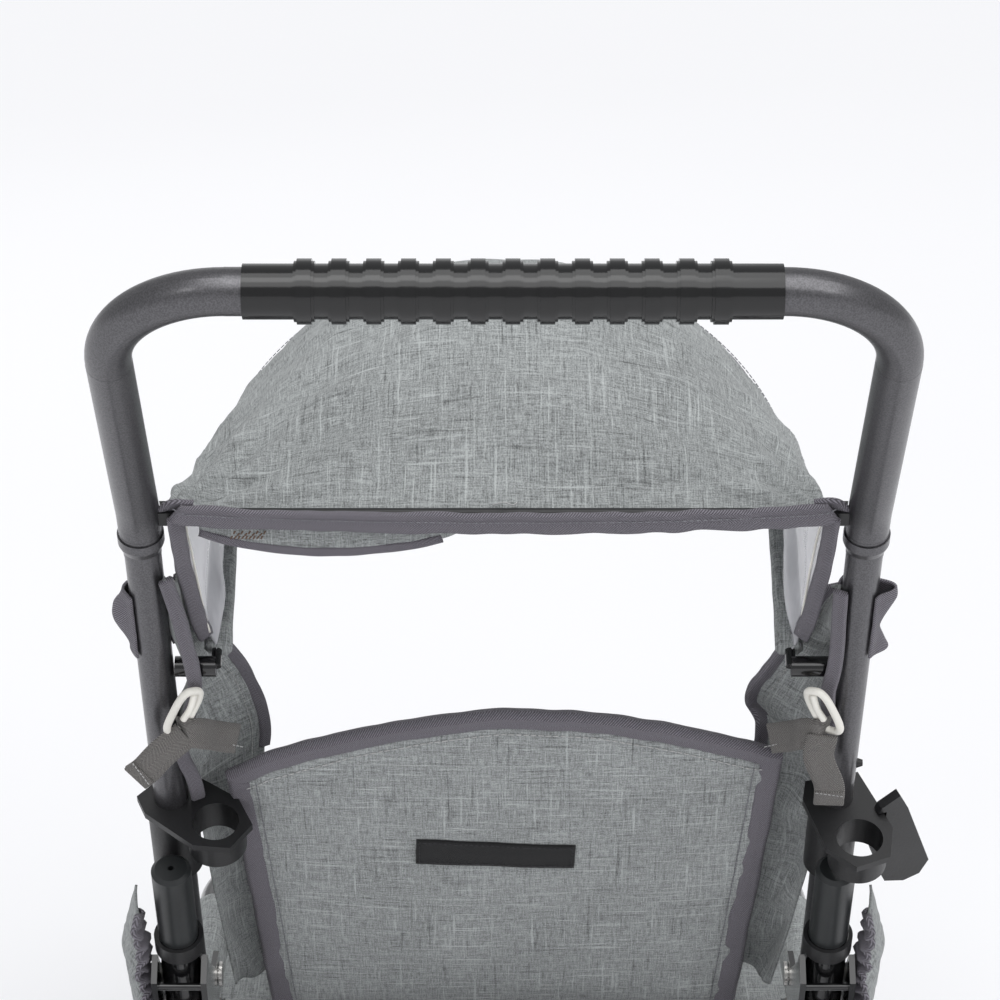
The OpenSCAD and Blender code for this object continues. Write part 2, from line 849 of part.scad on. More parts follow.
module tyre(r, w) {
    groove = 1.2;
    rotate([0, 90, 0]) rotate_extrude() difference() {
        union() {
            translate([r - 8, 0]) intersection() {
                circle(w / 2);
                translate([-w, -w / 2]) square([w + 8, w]);
            }
            translate([r - 14.9, -w * 0.4]) square([9, w * 0.8]);
        }
        translate([0, -w]) square([r - 14.9, 2 * w]);
        for (z = [-5, 0, 5]) translate([r - groove, z - 0.8]) square([3, 1.6]);
    }
}

module rear_rim(s) {
    color("#d6d7d9") translate([s * wheel_x, axle_y, rear_r]) rim(rear_r, tyre_w, 5, axle_r);
}

module rear_tyre(s) {
    color("#18181a") translate([s * wheel_x, axle_y, rear_r]) tyre(rear_r, tyre_w);
}

// ---- front wheel ----

fork_y = cross_y + trail;

module fork() {
    stem_r = 6;
    gap = hub_w / 2 + 0.6;
    crown_t = 7;
    crown = rail_z - 22 - face_gap - crown_t;
    color("#222226") difference() {
        union() {
            translate([0, cross_y, crown]) cylinder(h = crown_t + 22 + 16, r = stem_r);
            translate([0, cross_y, crown]) cylinder(h = crown_t, r = 15);
            translate([-gap - 7, cross_y - 10, crown]) cube([2 * gap + 14, 20, crown_t]);
            for (s = [-1, 1])
                translate([s > 0 ? gap : -gap - 7, 0, 0]) rotate([90, 0, 90])
                    linear_extrude(height = 7)
                        polygon([
                            [cross_y - 10, crown + 7], [cross_y + 10, crown + 7],
                            [fork_y + 10, front_r + 4], [fork_y + 6, front_r - 9],
                            [fork_y - 6, front_r - 9], [fork_y - 10, front_r + 2]
                        ]);
        }
        disc(0, fork_y, front_r, axle_r + 0.05, 120);
    }
}

module front_axle() {
    out = hub_w / 2 + 8.2;
    color("#8f8f92") {
        disc(0, fork_y, front_r, axle_r, 2 * out);
        for (s = [-1, 1]) disc(s * (out + 1), fork_y, front_r, 7, 2);
    }
}

module front_rim() {
    color("#d6d7d9") translate([0, fork_y, front_r]) rim(front_r, tyre_w, 5, axle_r);
}

module front_tyre() {
    color("#18181a") translate([0, fork_y, front_r]) tyre(front_r, tyre_w);
}

side_tube(1);  // side_tube_l
side_tube(-1);  // side_tube_r
plug(1);  // plug_l
plug(-1);  // plug_r
collar(1);  // collar_l
collar(-1);  // collar_r
hinge_plates(1);  // hinge_plates_l
hinge_plates(-1);  // hinge_plates_r
hinge_pin(1);  // hinge_pin_l
hinge_pin(-1);  // hinge_pin_r
front_cross();
steer_head();
footrest();
seat_deck();
seat_cushion();
basket();
skirt(1);  // skirt_l
skirt(-1);  // skirt_r
lap_belt();
crotch_strap();
buckle();
handle_tube();
lower_tube(1);  // lower_tube_l
lower_tube(-1);  // lower_tube_r
joint_ring(1);  // joint_ring_l
joint_ring(-1);  // joint_ring_r
grip();
nubs();
hood_rod();
seat_back();
back_patch();
wing(1);  // wing_l
wing(-1);  // wing_r
window(1);  // window_l
window(-1);  // window_r
clip(1);  // clip_l
clip(-1);  // clip_r
strap(1);  // strap_l
strap(-1);  // strap_r
wrap(1);  // wrap_l
wrap(-1);  // wrap_r
hood();
hood_bow();
lock_sleeve(1);  // lock_sleeve_l
lock_sleeve(-1);  // lock_sleeve_r
lock_skirt(1);  // lock_skirt_l
lock_skirt(-1);  // lock_skirt_r
lock_paddle();
rear_leg(1);  // rear_leg_l
rear_leg(-1);  // rear_leg_r
rear_axle();
leg_brace();
rear_rim(1);  // rear_rim_l
rear_rim(-1);  // rear_rim_r
rear_tyre(1);  // rear_tyre_l
rear_tyre(-1);  // rear_tyre_r
fork();
front_axle();
front_rim();
front_tyre();
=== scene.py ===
import json
import math

import bmesh
import bpy
import numpy as np
from bpy.props import FloatProperty, FloatVectorProperty, PointerProperty
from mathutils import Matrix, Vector, noise
from mathutils.bvhtree import BVHTree

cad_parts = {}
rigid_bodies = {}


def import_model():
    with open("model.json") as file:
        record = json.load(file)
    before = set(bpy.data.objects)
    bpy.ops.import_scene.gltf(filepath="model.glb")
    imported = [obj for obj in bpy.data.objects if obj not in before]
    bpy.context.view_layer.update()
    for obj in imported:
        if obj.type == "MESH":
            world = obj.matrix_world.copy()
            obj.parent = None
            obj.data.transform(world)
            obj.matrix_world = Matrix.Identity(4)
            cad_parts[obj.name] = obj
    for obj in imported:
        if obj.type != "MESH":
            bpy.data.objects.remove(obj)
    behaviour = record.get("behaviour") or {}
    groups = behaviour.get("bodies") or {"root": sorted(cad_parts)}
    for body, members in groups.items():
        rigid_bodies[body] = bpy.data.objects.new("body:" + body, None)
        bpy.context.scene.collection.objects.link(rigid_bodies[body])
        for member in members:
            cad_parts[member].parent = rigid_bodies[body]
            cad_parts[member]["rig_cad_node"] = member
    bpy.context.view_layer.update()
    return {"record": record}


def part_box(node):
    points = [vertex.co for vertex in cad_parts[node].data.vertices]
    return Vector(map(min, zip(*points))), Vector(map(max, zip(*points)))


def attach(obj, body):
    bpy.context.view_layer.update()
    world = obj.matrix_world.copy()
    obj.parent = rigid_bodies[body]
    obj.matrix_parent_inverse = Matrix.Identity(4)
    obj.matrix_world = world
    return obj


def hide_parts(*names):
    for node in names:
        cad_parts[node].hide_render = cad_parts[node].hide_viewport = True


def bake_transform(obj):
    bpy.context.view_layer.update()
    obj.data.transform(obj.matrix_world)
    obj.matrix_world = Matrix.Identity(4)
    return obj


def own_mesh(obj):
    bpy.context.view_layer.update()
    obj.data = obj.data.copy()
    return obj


bl_info = {
    "name": "Doll stroller",
    "version": (1, 0, 0),
    "blender": (4, 5, 0),
    "location": "View3D > Sidebar > Stroller",
    "description": "Dresses a folding doll stroller's frame in cloth, tape, straps and paint",
    "category": "Object",
}

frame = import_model()

# The frame's own measures, in millimetres: the lock plate's middle, the tubes' lean, the
# hood's hem line, the hood's bow and the seat.
LEAN = math.radians(26)
PLATE_Y, PLATE_Z = 66.903, 330.323
HALF = 165
LOW_R, TOP_R, FRAME_R = 8.5, 10.0, 10.5
PIVOT_DROP = 150
BACK_TOP = 70
RING_Y = PLATE_Y + 202 * math.sin(LEAN)
RING_Z = PLATE_Z + 202 * math.cos(LEAN)
HOOD_HALF = 147
HOOD_REACH = 235
BOW_DY, BOW_DZ = (98 - 202) * math.sin(LEAN), (98 - 202) * math.cos(LEAN)
BROW_Z = 45.6
BOW_TILT = math.atan2(HOOD_REACH + BOW_DY, BROW_Z - BOW_DZ)
BOW_LEN = (BROW_Z - BOW_DZ) / math.cos(BOW_TILT)
BOW_LOW = 0.38
BOW_ARCH = HOOD_HALF - 9


# ---- places ----


def post(x, b, s):
    """x across, b behind the handle tube's axis and s up it, in mm, as a place in metres."""
    return (
        x / 1000,
        (PLATE_Y + s * math.sin(LEAN) + b * math.cos(LEAN)) / 1000,
        (PLATE_Z + s * math.cos(LEAN) - b * math.sin(LEAN)) / 1000,
    )


def hem(x, y, z):
    """A place in mm from the middle of the hood's hem line, in metres."""
    return (x / 1000, (RING_Y + y) / 1000, (RING_Z + z) / 1000)


def bow(x, up, out=0):
    """A place in the bow's plane, up it from its pivot and out of it, in metres."""
    return hem(
        x,
        BOW_DY - up * math.sin(BOW_TILT) - out * math.cos(BOW_TILT),
        BOW_DZ + up * math.cos(BOW_TILT) - out * math.sin(BOW_TILT),
    )


def mix(a, b, t):
    return a + (b - a) * t


def rough(x, y, z, scale, seed=0.0):
    """Smooth noise from -1 to 1, with features about scale mm apart."""
    return noise.noise(Vector((x / scale + seed, y / scale + seed * 1.7, z / scale - seed)))


def crease(x, y, z, scale, seed=0.0):
    """Ridged noise from 0 to 1: long sharp crests with soft valleys between."""
    return (1 - abs(rough(x, y, z, scale, seed))) ** 3


# ---- meshes ----


def new_piece(name, verts, faces, uvs=None, material=None, smooth=True):
    """A mesh at the origin. uvs holds one (u, v) in metres for each vertex."""
    mesh = bpy.data.meshes.new(name)
    mesh.from_pydata([tuple(v) for v in verts], [], [tuple(f) for f in faces])
    mesh.update()
    if uvs is not None:
        layer = mesh.uv_layers.new(name="UVMap")
        index = np.zeros(len(mesh.loops), np.int32)
        mesh.loops.foreach_get("vertex_index", index)
        layer.data.foreach_set("uv", np.asarray(uvs, np.float32)[index].ravel())
    if smooth:
        mesh.shade_smooth()
    piece = bpy.data.objects.new(name, mesh)
    bpy.context.scene.collection.objects.link(piece)
    if material is not None:
        mesh.materials.append(material)
    return piece


def face_out(piece):
    """Turns a closed mesh's faces outward."""
    b = bmesh.new()
    b.from_mesh(piece.data)
    bmesh.ops.recalc_face_normals(b, faces=b.faces)
    b.to_mesh(piece.data)
    b.free()
    return piece


def arc_lengths(points):
    """The mean distance along the first axis of a grid of points, from its start."""
    steps = np.linalg.norm(np.diff(points, axis=0), axis=2).mean(1)
    return np.concatenate([[0], np.cumsum(steps)])


def grid_normals(points):
    du = np.gradient(points, axis=0)
    dv = np.gradient(points, axis=1)
    n = np.cross(du, dv)
    return n / np.maximum(np.linalg.norm(n, axis=2, keepdims=True), 1e-9)


def cloth_sheet(name, points, material, thick=0.0011):
    """A closed thin sheet over a grid of points, with its UV map in metres."""
    points = np.asarray(points, float)
    n, m = points.shape[:2]
    normals = grid_normals(points)
    both = np.concatenate(
        [
            (points + normals * thick / 2).reshape(-1, 3),
            (points - normals * thick / 2).reshape(-1, 3),
        ]
    )
    us, vs = arc_lengths(points), arc_lengths(points.transpose(1, 0, 2))
    uv = np.stack(np.meshgrid(us, vs, indexing="ij"), 2).reshape(-1, 2)
    k = n * m
    faces = []
    for i in range(n - 1):
        for j in range(m - 1):
            c = i * m + j
            faces.append((c, c + m, c + m + 1, c + 1))
            faces.append((k + c, k + c + 1, k + c + m + 1, k + c + m))
    rim = [i * m for i in range(n)]
    rim += [(n - 1) * m + j for j in range(1, m)]
    rim += [i * m + m - 1 for i in range(n - 2, -1, -1)]
    rim += [j for j in range(m - 2, 0, -1)]
    for a, b in zip(rim, rim[1:] + rim[:1]):
        faces.append((a, k + a, k + b, b))
    return face_out(new_piece(name, both, faces, np.concatenate([uv, uv]), material))


def smooth_path(points, count):
    """count points spread evenly along a smooth curve through the given ones."""
    p = np.asarray(points, float)
    p = np.concatenate([[2 * p[0] - p[1]], p, [2 * p[-1] - p[-2]]])
    fine = []
    for i in range(1, len(p) - 2):
        for t in np.linspace(0, 1, 24, endpoint=False):
            fine.append(
                0.5
                * (
                    2 * p[i]
                    + (p[i + 1] - p[i - 1]) * t
                    + (2 * p[i - 1] - 5 * p[i] + 4 * p[i + 1] - p[i + 2]) * t * t
                    + (3 * p[i] - p[i - 1] - 3 * p[i + 1] + p[i + 2]) * t**3
                )
            )
    fine.append(p[-2])
    fine = np.array(fine)
    along = np.concatenate([[0], np.cumsum(np.linalg.norm(np.diff(fine, axis=0), axis=1))])
    at = np.linspace(0, along[-1], count)
    return np.stack([np.interp(at, along, fine[:, i]) for i in range(3)], 1)


def unit(v):
    v = np.asarray(v, float)
    return v / np.maximum(np.linalg.norm(v, axis=-1, keepdims=True), 1e-9)


def band(name, path, across, width, thick, material, closed=False, ripple=0.0, seed=0.0):
    """A flat strip with rounded edges along a path. across is its width's direction, one
    for the whole strip or one for each point; ripple in metres makes it uneven."""
    path = np.asarray(path, float)
    n = len(path)
    across = np.broadcast_to(np.asarray(across, float), path.shape)
    if closed:
        tangent = unit(np.roll(path, -1, 0) - np.roll(path, 1, 0))
    else:
        tangent = unit(np.gradient(path, axis=0))
    across = unit(across - tangent * (across * tangent).sum(1, keepdims=True))
    normal = np.cross(tangent, across)
    w, h = width / 2, thick / 2
    section = [(-w, 0), (-w + h * 0.6, h), (-w * 0.5, h), (0, h), (w * 0.5, h), (w - h * 0.6, h)]
    section += [(w, 0), (w - h * 0.6, -h), (w * 0.5, -h), (0, -h), (-w * 0.5, -h)]
    section += [(-w + h * 0.6, -h)]
    k = len(section)
    along = np.concatenate([[0], np.cumsum(np.linalg.norm(np.diff(path, axis=0), axis=1))])
    verts, uvs = [], []
    for i in range(n):
        lift = ripple * noise.noise(Vector((along[i] * 60 + seed, seed * 3.1, 0)))
        for a, b in section:
            roll = ripple * 0.7 * noise.noise(Vector((along[i] * 90, a * 90 + seed, 7)))
            verts.append(path[i] + across[i] * (a + roll * 0.4) + normal[i] * (b + lift + roll))
            uvs.append((along[i], a))
    faces = []
    for i in range(n if closed else n - 1):
        for j in range(k):
            a, b = i * k + j, i * k + (j + 1) % k
            c, d = ((i + 1) % n) * k + (j + 1) % k, ((i + 1) % n) * k + j
            faces.append((a, b, c, d))
    if not closed:
        faces.append(tuple(reversed(range(k))))
        faces.append(tuple(range((n - 1) * k, n * k)))
    return face_out(new_piece(name, verts, faces, uvs, material))


def wire(name, path, radius, material, closed=False, sides=12):
    """A round bar along a path."""
    path = np.asarray(path, float)
    n = len(path)
    if closed:
        tangent = unit(np.roll(path, -1, 0) - np.roll(path, 1, 0))
    else:
        tangent = unit(np.gradient(path, axis=0))
    side = np.cross(tangent[0], (0.31, 0.2, 0.93))
    verts, uvs = [], []
    along = np.concatenate([[0], np.cumsum(np.linalg.norm(np.diff(path, axis=0), axis=1))])
    for i in range(n):
        side = unit(side - tangent[i] * np.dot(side, tangent[i]))
        up = np.cross(tangent[i], side)
        for j in range(sides):
            a = 2 * math.pi * j / sides
            verts.append(path[i] + radius * (math.cos(a) * side + math.sin(a) * up))
            uvs.append((along[i], a * radius))
    faces = []
    for i in range(n if closed else n - 1):
        for j in range(sides):
            a, b = i * sides + j, i * sides + (j + 1) % sides
            c, d = ((i + 1) % n) * sides + (j + 1) % sides, ((i + 1) % n) * sides + j
            faces.append((a, b, c, d))
    if not closed:
        faces.append(tuple(reversed(range(sides))))
        faces.append(tuple(range((n - 1) * sides, n * sides)))
    return face_out(new_piece(name, verts, faces, uvs, material))


# ---- repeated pieces, by Geometry Nodes ----


def stitch_tree():
    """Nodes that lay a row of thread stitches along each edge path of the mesh."""
    tree = bpy.data.node_groups.get("Stitch row")
    if tree:
        return tree
    tree = bpy.data.node_groups.new("Stitch row", "GeometryNodeTree")
    face = tree.interface
    face.new_socket("Geometry", in_out="INPUT", socket_type="NodeSocketGeometry")
    for name, value in (("Pitch", 0.003), ("Stitch length", 0.0021), ("Thread radius", 0.00028)):
        socket = face.new_socket(name, in_out="INPUT", socket_type="NodeSocketFloat")
        socket.default_value = value
        socket.subtype = "DISTANCE"
    face.new_socket("Thread", in_out="INPUT", socket_type="NodeSocketMaterial")
    face.new_socket("Geometry", in_out="OUTPUT", socket_type="NodeSocketGeometry")
    make, link = tree.nodes.new, tree.links.new
    given, out = make("NodeGroupInput"), make("NodeGroupOutput")
    curve = make("GeometryNodeMeshToCurve")
    spread = make("GeometryNodeResampleCurve")
    spread.mode = "LENGTH"
    bead = make("GeometryNodeMeshCylinder")
    bead.inputs["Vertices"].default_value = 6
    place = make("GeometryNodeInstanceOnPoints")
    tangent = make("GeometryNodeInputTangent")
    turn = make("FunctionNodeAlignRotationToVector")
    turn.axis = "Z"
    realize, paint = make("GeometryNodeRealizeInstances"), make("GeometryNodeSetMaterial")
    link(given.outputs["Geometry"], curve.inputs[0])
    link(curve.outputs[0], spread.inputs["Curve"])
    link(given.outputs["Pitch"], spread.inputs["Length"])
    link(given.outputs["Thread radius"], bead.inputs["Radius"])
    link(given.outputs["Stitch length"], bead.inputs["Depth"])
    link(spread.outputs[0], place.inputs["Points"])
    link(bead.outputs["Mesh"], place.inputs["Instance"])
    link(tangent.outputs[0], turn.inputs["Vector"])
    link(turn.outputs[0], place.inputs["Rotation"])
    link(place.outputs[0], realize.inputs[0])
    link(realize.outputs[0], paint.inputs["Geometry"])
    link(given.outputs["Thread"], paint.inputs["Material"])
    link(paint.outputs[0], out.inputs[0])
    return tree


def stitches(name, paths, thread, pitch=0.0032, length=0.0022, radius=0.00026):
    """Rows of stitches along the paths, as one plain mesh."""
    verts, edges = [], []
    for path in paths:
        start = len(verts)
        verts += [tuple(p) for p in path]
        edges += [(start + i, start + i + 1) for i in range(len(path) - 1)]
    mesh = bpy.data.meshes.new(name)
    mesh.from_pydata(verts, edges, [])
    guide = bpy.data.objects.new(name + "_guide", mesh)
    bpy.context.scene.collection.objects.link(guide)
    rows = guide.modifiers.new("Stitch row", "NODES")
    rows.node_group = stitch_tree()
    values = {
        "Pitch": pitch,
        "Stitch length": length,
        "Thread radius": radius,
        "Thread": thread,
    }
    for item in rows.node_group.interface.items_tree:
        if item.item_type == "SOCKET" and item.in_out == "INPUT" and item.name in values:
            rows[item.identifier] = values[item.name]
    bpy.context.view_layer.update()
    evaluated = guide.evaluated_get(bpy.context.evaluated_depsgraph_get())
    made = bpy.data.meshes.new_from_object(evaluated)
    bpy.data.objects.remove(guide)
    made.shade_smooth()
    piece = bpy.data.objects.new(name, made)
    bpy.context.scene.collection.objects.link(piece)
    if not made.materials:
        made.materials.append(thread)
    return piece


# ---- shader groups ----


def group_sockets(tree, inputs, outputs):
    for name, kind, value in inputs:
        socket = tree.interface.new_socket(name, in_out="INPUT", socket_type=kind)
        if value is not None:
            socket.default_value = value
    for name, kind in outputs:
        tree.interface.new_socket(name, in_out="OUTPUT", socket_type=kind)


class Net:
    """Short calls for adding nodes and links to one shader tree."""

    def __init__(self, tree):
        self.tree = tree

    def node(self, kind, **settings):
        made = self.tree.nodes.new(kind)
        for key, value in settings.items():
            setattr(made, key, value)
        return made

    def put(self, socket, value):
        if isinstance(value, bpy.types.NodeSocket):
            self.tree.links.new(value, socket)
        else:
            socket.default_value = value

    def math(self, operation, a, b=0.0, clamp=False):
        made = self.node("ShaderNodeMath", operation=operation, use_clamp=clamp)
        self.put(made.inputs[0], a)
        self.put(made.inputs[1], b)
        return made.outputs[0]

    def noise(self, vector, scale, detail=2.0, roughness=0.5):
        made = self.node("ShaderNodeTexNoise")
        self.put(made.inputs["Vector"], vector)
        made.inputs["Scale"].default_value = scale
        made.inputs["Detail"].default_value = detail
        made.inputs["Roughness"].default_value = roughness
        return made.outputs["Fac"]

    def stretch(self, vector, scale):
        made = self.node("ShaderNodeMapping")
        self.put(made.inputs["Vector"], vector)
        made.inputs["Scale"].default_value = scale
        return made.outputs[0]

    def ramp(self, value, stops):
        made = self.node("ShaderNodeMapRange")
        self.put(made.inputs["Value"], value)
        for socket, number in zip(made.inputs[1:5], stops):
            socket.default_value = number
        return made.outputs[0]

    def blend(self, factor, a, b, how="MIX"):
        made = self.node("ShaderNodeMix", data_type="RGBA", blend_type=how)
        self.put(made.inputs[0], factor)
        self.put(made.inputs[6], a)
        self.put(made.inputs[7], b)
        return made.outputs[2]


def marl_group():
    """Plain weave in mixed yarns: fine speckle, thick slubs both ways and soft patches."""
    tree = bpy.data.node_groups.get("Marl weave")
    if tree:
        return tree
    tree = bpy.data.node_groups.new("Marl weave", "ShaderNodeTree")
    group_sockets(
        tree,
        [
            ("Vector", "NodeSocketVector", None),
            ("Yarn light", "NodeSocketColor", (0.6, 0.63, 0.63, 1)),
            ("Yarn dark", "NodeSocketColor", (0.09, 0.1, 0.1, 1)),
        ],
        [("Color", "NodeSocketColor"), ("Height", "NodeSocketFloat")],
    )
    net = Net(tree)
    given, out = net.node("NodeGroupInput"), net.node("NodeGroupOutput")
    place = given.outputs["Vector"]
    weft = net.noise(net.stretch(place, (150, 1500, 0)), 1.0, 2.0, 0.6)
    warp = net.noise(net.stretch(place, (1500, 130, 0)), 1.0, 2.0, 0.6)
    speck = net.noise(net.stretch(place, (1300, 1300, 0)), 1.0, 1.0, 0.5)
    slub_u = net.noise(net.stretch(place, (26, 620, 0)), 1.0, 1.0, 0.5)
    slub_v = net.noise(net.stretch(place, (560, 20, 0)), 1.0, 1.0, 0.5)
    cloud = net.noise(place, 14.0, 2.0, 0.5)
    yarns = net.math("ADD", net.math("MULTIPLY", weft, 0.36), net.math("MULTIPLY", warp, 0.34))
    yarns = net.math("ADD", yarns, net.math("MULTIPLY", speck, 0.3))
    yarns = net.ramp(yarns, (0.34, 0.66, 0.0, 1.0))
    thick = net.math(
        "MAXIMUM", net.ramp(slub_u, (0.6, 0.74, 0, 1)), net.ramp(slub_v, (0.62, 0.78, 0, 1))
    )
    dim = net.math(
        "MAXIMUM", net.ramp(slub_u, (0.38, 0.24, 0, 1)), net.ramp(slub_v, (0.38, 0.24, 0, 1))
    )
    mask = net.math("ADD", yarns, net.math("MULTIPLY", thick, 0.4))
    mask = net.math("SUBTRACT", mask, net.math("MULTIPLY", dim, 0.3))
    mask = net.math("ADD", mask, net.ramp(cloud, (0.3, 0.7, -0.07, 0.07)), clamp=True)
    color = net.blend(mask, given.outputs["Yarn dark"], given.outputs["Yarn light"])
    net.put(out.inputs["Color"], color)
    net.put(out.inputs["Height"], net.math("ADD", yarns, net.math("MULTIPLY", thick, 0.6)))
    return tree


def twill_group():
    """Slanted ribs; with a band width above zero the slant turns back, as in herringbone. The rib colour is a painted
    highlight on the crests and the groove colour is painted shade between them.
    """
    tree = bpy.data.node_groups.get("Twill ribs")
    if tree:
        return tree
    tree = bpy.data.node_groups.new("Twill ribs", "ShaderNodeTree")
    group_sockets(
        tree,
        [
            ("Vector", "NodeSocketVector", None),
            ("Rib pitch", "NodeSocketFloat", 0.0013),
            ("Band", "NodeSocketFloat", 0.02),
            ("Rib", "NodeSocketColor", (0.3, 0.29, 0.32, 1)),
            ("Groove", "NodeSocketColor", (0.08, 0.075, 0.09, 1)),
        ],
        [("Color", "NodeSocketColor"), ("Height", "NodeSocketFloat")],
    )
    net = Net(tree)
    given, out = net.node("NodeGroupInput"), net.node("NodeGroupOutput")
    split = net.node("ShaderNodeSeparateXYZ")
    net.put(split.inputs[0], given.outputs["Vector"])
    across = net.math("PINGPONG", split.outputs[1], given.outputs["Band"])
    slant = net.math("ADD", split.outputs[0], net.math("MULTIPLY", across, 1.5))
    turns = net.math("DIVIDE", slant, given.outputs["Rib pitch"])
    wave = net.math("SINE", net.math("MULTIPLY", turns, 2 * math.pi))
    rib = net.ramp(wave, (-0.8, 0.8, 0, 1))
    speck = net.noise(net.stretch(given.outputs["Vector"], (900, 1400, 0)), 1.0, 2.0, 0.6)
    # painted light on the relief: the rib mask lifts the colour to the painted highlight on the crests, the grooves
    # keep the painted shade; the speckle is random tone
    tone = net.math("MULTIPLY", rib, net.ramp(speck, (0.25, 0.75, 0.5, 1.3)), clamp=True)
    net.put(out.inputs["Color"], net.blend(tone, given.outputs["Groove"], given.outputs["Rib"]))
    net.put(out.inputs["Height"], rib)
    return tree


def wear_group():
    """Fine unevenness of paint and mouldings: a roughness mask and a height."""
    tree = bpy.data.node_groups.get("Fine wear")
    if tree:
        return tree
    tree = bpy.data.node_groups.new("Fine wear", "ShaderNodeTree")
    group_sockets(
        tree,
        [
            ("Vector", "NodeSocketVector", None),
            ("Grain", "NodeSocketFloat", 900.0),
            ("Low", "NodeSocketFloat", 0.3),
            ("High", "NodeSocketFloat", 0.45),
        ],
        [("Roughness", "NodeSocketFloat"), ("Height", "NodeSocketFloat")],
    )
    net = Net(tree)
    given, out = net.node("NodeGroupInput"), net.node("NodeGroupOutput")
    grain = net.node("ShaderNodeTexNoise")
    net.put(grain.inputs["Vector"], given.outputs["Vector"])
    net.put(grain.inputs["Scale"], given.outputs["Grain"])
    grain.inputs["Detail"].default_value = 3.0
    smear = net.noise(given.outputs["Vector"], 22.0, 4.0, 0.6)
    scale = net.node("ShaderNodeMapRange")
    net.put(scale.inputs["Value"], net.math("ADD", net.math("MULTIPLY", grain.outputs["Fac"], 0.4),
                                            net.math("MULTIPLY", smear, 0.6)))
    scale.inputs["From Min"].default_value = 0.32
    scale.inputs["From Max"].default_value = 0.68
    net.put(scale.inputs["To Min"], given.outputs["Low"])
    net.put(scale.inputs["To Max"], given.outputs["High"])
    net.put(out.inputs["Roughness"], scale.outputs[0])
    net.put(out.inputs["Height"], grain.outputs["Fac"])
    return tree


# ---- materials ----


def start_material(name, vector="UV"):
    """A cleared material with its shader, and the chosen texture coordinate."""
    name += "_look"
    made = bpy.data.materials.get(name)
    if made:
        return made, None, None, None
    made = bpy.data.materials.new(name)
    made.use_nodes = True
    made.node_tree.nodes.clear()
    net = Net(made.node_tree)
    shader = net.node("ShaderNodeBsdfPrincipled")
    out = net.node("ShaderNodeOutputMaterial")
    net.put(out.inputs["Surface"], shader.outputs[0])
    if vector == "UV":
        place = net.node("ShaderNodeUVMap", uv_map="UVMap").outputs[0]
    else:
        place = net.node("ShaderNodeTexCoord").outputs[vector]
    return made, net, shader, place


def group_node(net, tree, vector, **values):
    made = net.node("ShaderNodeGroup", node_tree=tree)
    net.put(made.inputs["Vector"], vector)
    for name, value in values.items():
        net.put(made.inputs[name.replace("_", " ")], value)
    return made


def bump(net, shader, height, strength, distance):
    made = net.node("ShaderNodeBump")
    made.inputs["Strength"].default_value = strength
    made.inputs["Distance"].default_value = distance
    net.put(made.inputs["Height"], height)
    net.put(shader.inputs["Normal"], made.outputs[0])


def shaded(color, factor):
    return tuple(min(1.0, c * factor) for c in color[:3]) + (1.0,)


def marl_cloth(name="marl_cloth", vector="UV", lift=1.0):
    made, net, shader, place = start_material(name, vector)
    if net is None:
        return made
    if vector == "Object":
        split = net.node("ShaderNodeSeparateXYZ")
        net.put(split.inputs[0], place)
        join = net.node("ShaderNodeCombineXYZ")
        net.put(join.inputs[0], split.outputs[0])
        net.put(join.inputs[1], net.math("ADD", split.outputs[1], split.outputs[2]))
        place = join.outputs[0]
    base = bpy.context.scene.stroller_cloth.marl
    weave = group_node(
        net, marl_group(), place, Yarn_light=shaded(base, 1.95 * lift), Yarn_dark=shaded(base, 0.42 * lift)
    )
    net.put(shader.inputs["Base Color"], weave.outputs["Color"])
    bump(net, shader, weave.outputs["Height"], 0.55, 0.0004)
    shader.inputs["Roughness"].default_value = 0.88
    shader.inputs["Specular IOR Level"].default_value = 0.25
    shader.inputs["Sheen Weight"].default_value = 0.18
    shader.inputs["Sheen Roughness"].default_value = 0.5
    return made


def twill_cloth(name, base, pitch, band_w, light=1.6, dark=0.5):
    made, net, shader, place = start_material(name)
    if net is None:
        return made
    # the rib colour is the base times light, a painted highlight on the crests; the groove colour is the base times
    # dark, painted shade in the grooves
    weave = group_node(
        net,
        twill_group(),
        place,
        Rib_pitch=pitch,
        Band=band_w,
        Rib=shaded(base, light),
        Groove=shaded(base, dark),
    )
    net.put(shader.inputs["Base Color"], weave.outputs["Color"])
    bump(net, shader, weave.outputs["Height"], 0.8, 0.0004)
    shader.inputs["Roughness"].default_value = 0.8
    shader.inputs["Specular IOR Level"].default_value = 0.3
    shader.inputs["Sheen Weight"].default_value = 0.12
    return made


def twill_tape():
    # default 1.6 and 0.5 set the painted rib highlight and the painted groove shade of the binding
    return twill_cloth("twill_tape", bpy.context.scene.stroller_cloth.tape, 0.0013, 0.05)


def webbing():
    # 1.7 and 0.4 set the painted rib highlight and the painted groove shade of the webbing
    return twill_cloth("webbing", (0.165, 0.157, 0.15), 0.0012, 0.0045, 1.7, 0.4)


def thread(name, color):
    made, net, shader, place = start_material(name, "Object")
    if net is None:
        return made
    twist = net.noise(net.stretch(place, (2500, 2500, 2500)), 1.0, 1.0)
    net.put(
        shader.inputs["Base Color"],
        net.blend(net.ramp(twist, (0.3, 0.7, 0, 1)), shaded(color, 0.7), shaded(color, 1.15)),
    )
    shader.inputs["Roughness"].default_value = 0.6
    return made


def pale_thread():
    return thread("pale_thread", (0.5, 0.5, 0.5))


def grey_thread():
    return thread("grey_thread", (0.2, 0.2, 0.22))


def brown_thread():
    return thread("brown_thread", (0.12, 0.07, 0.045))


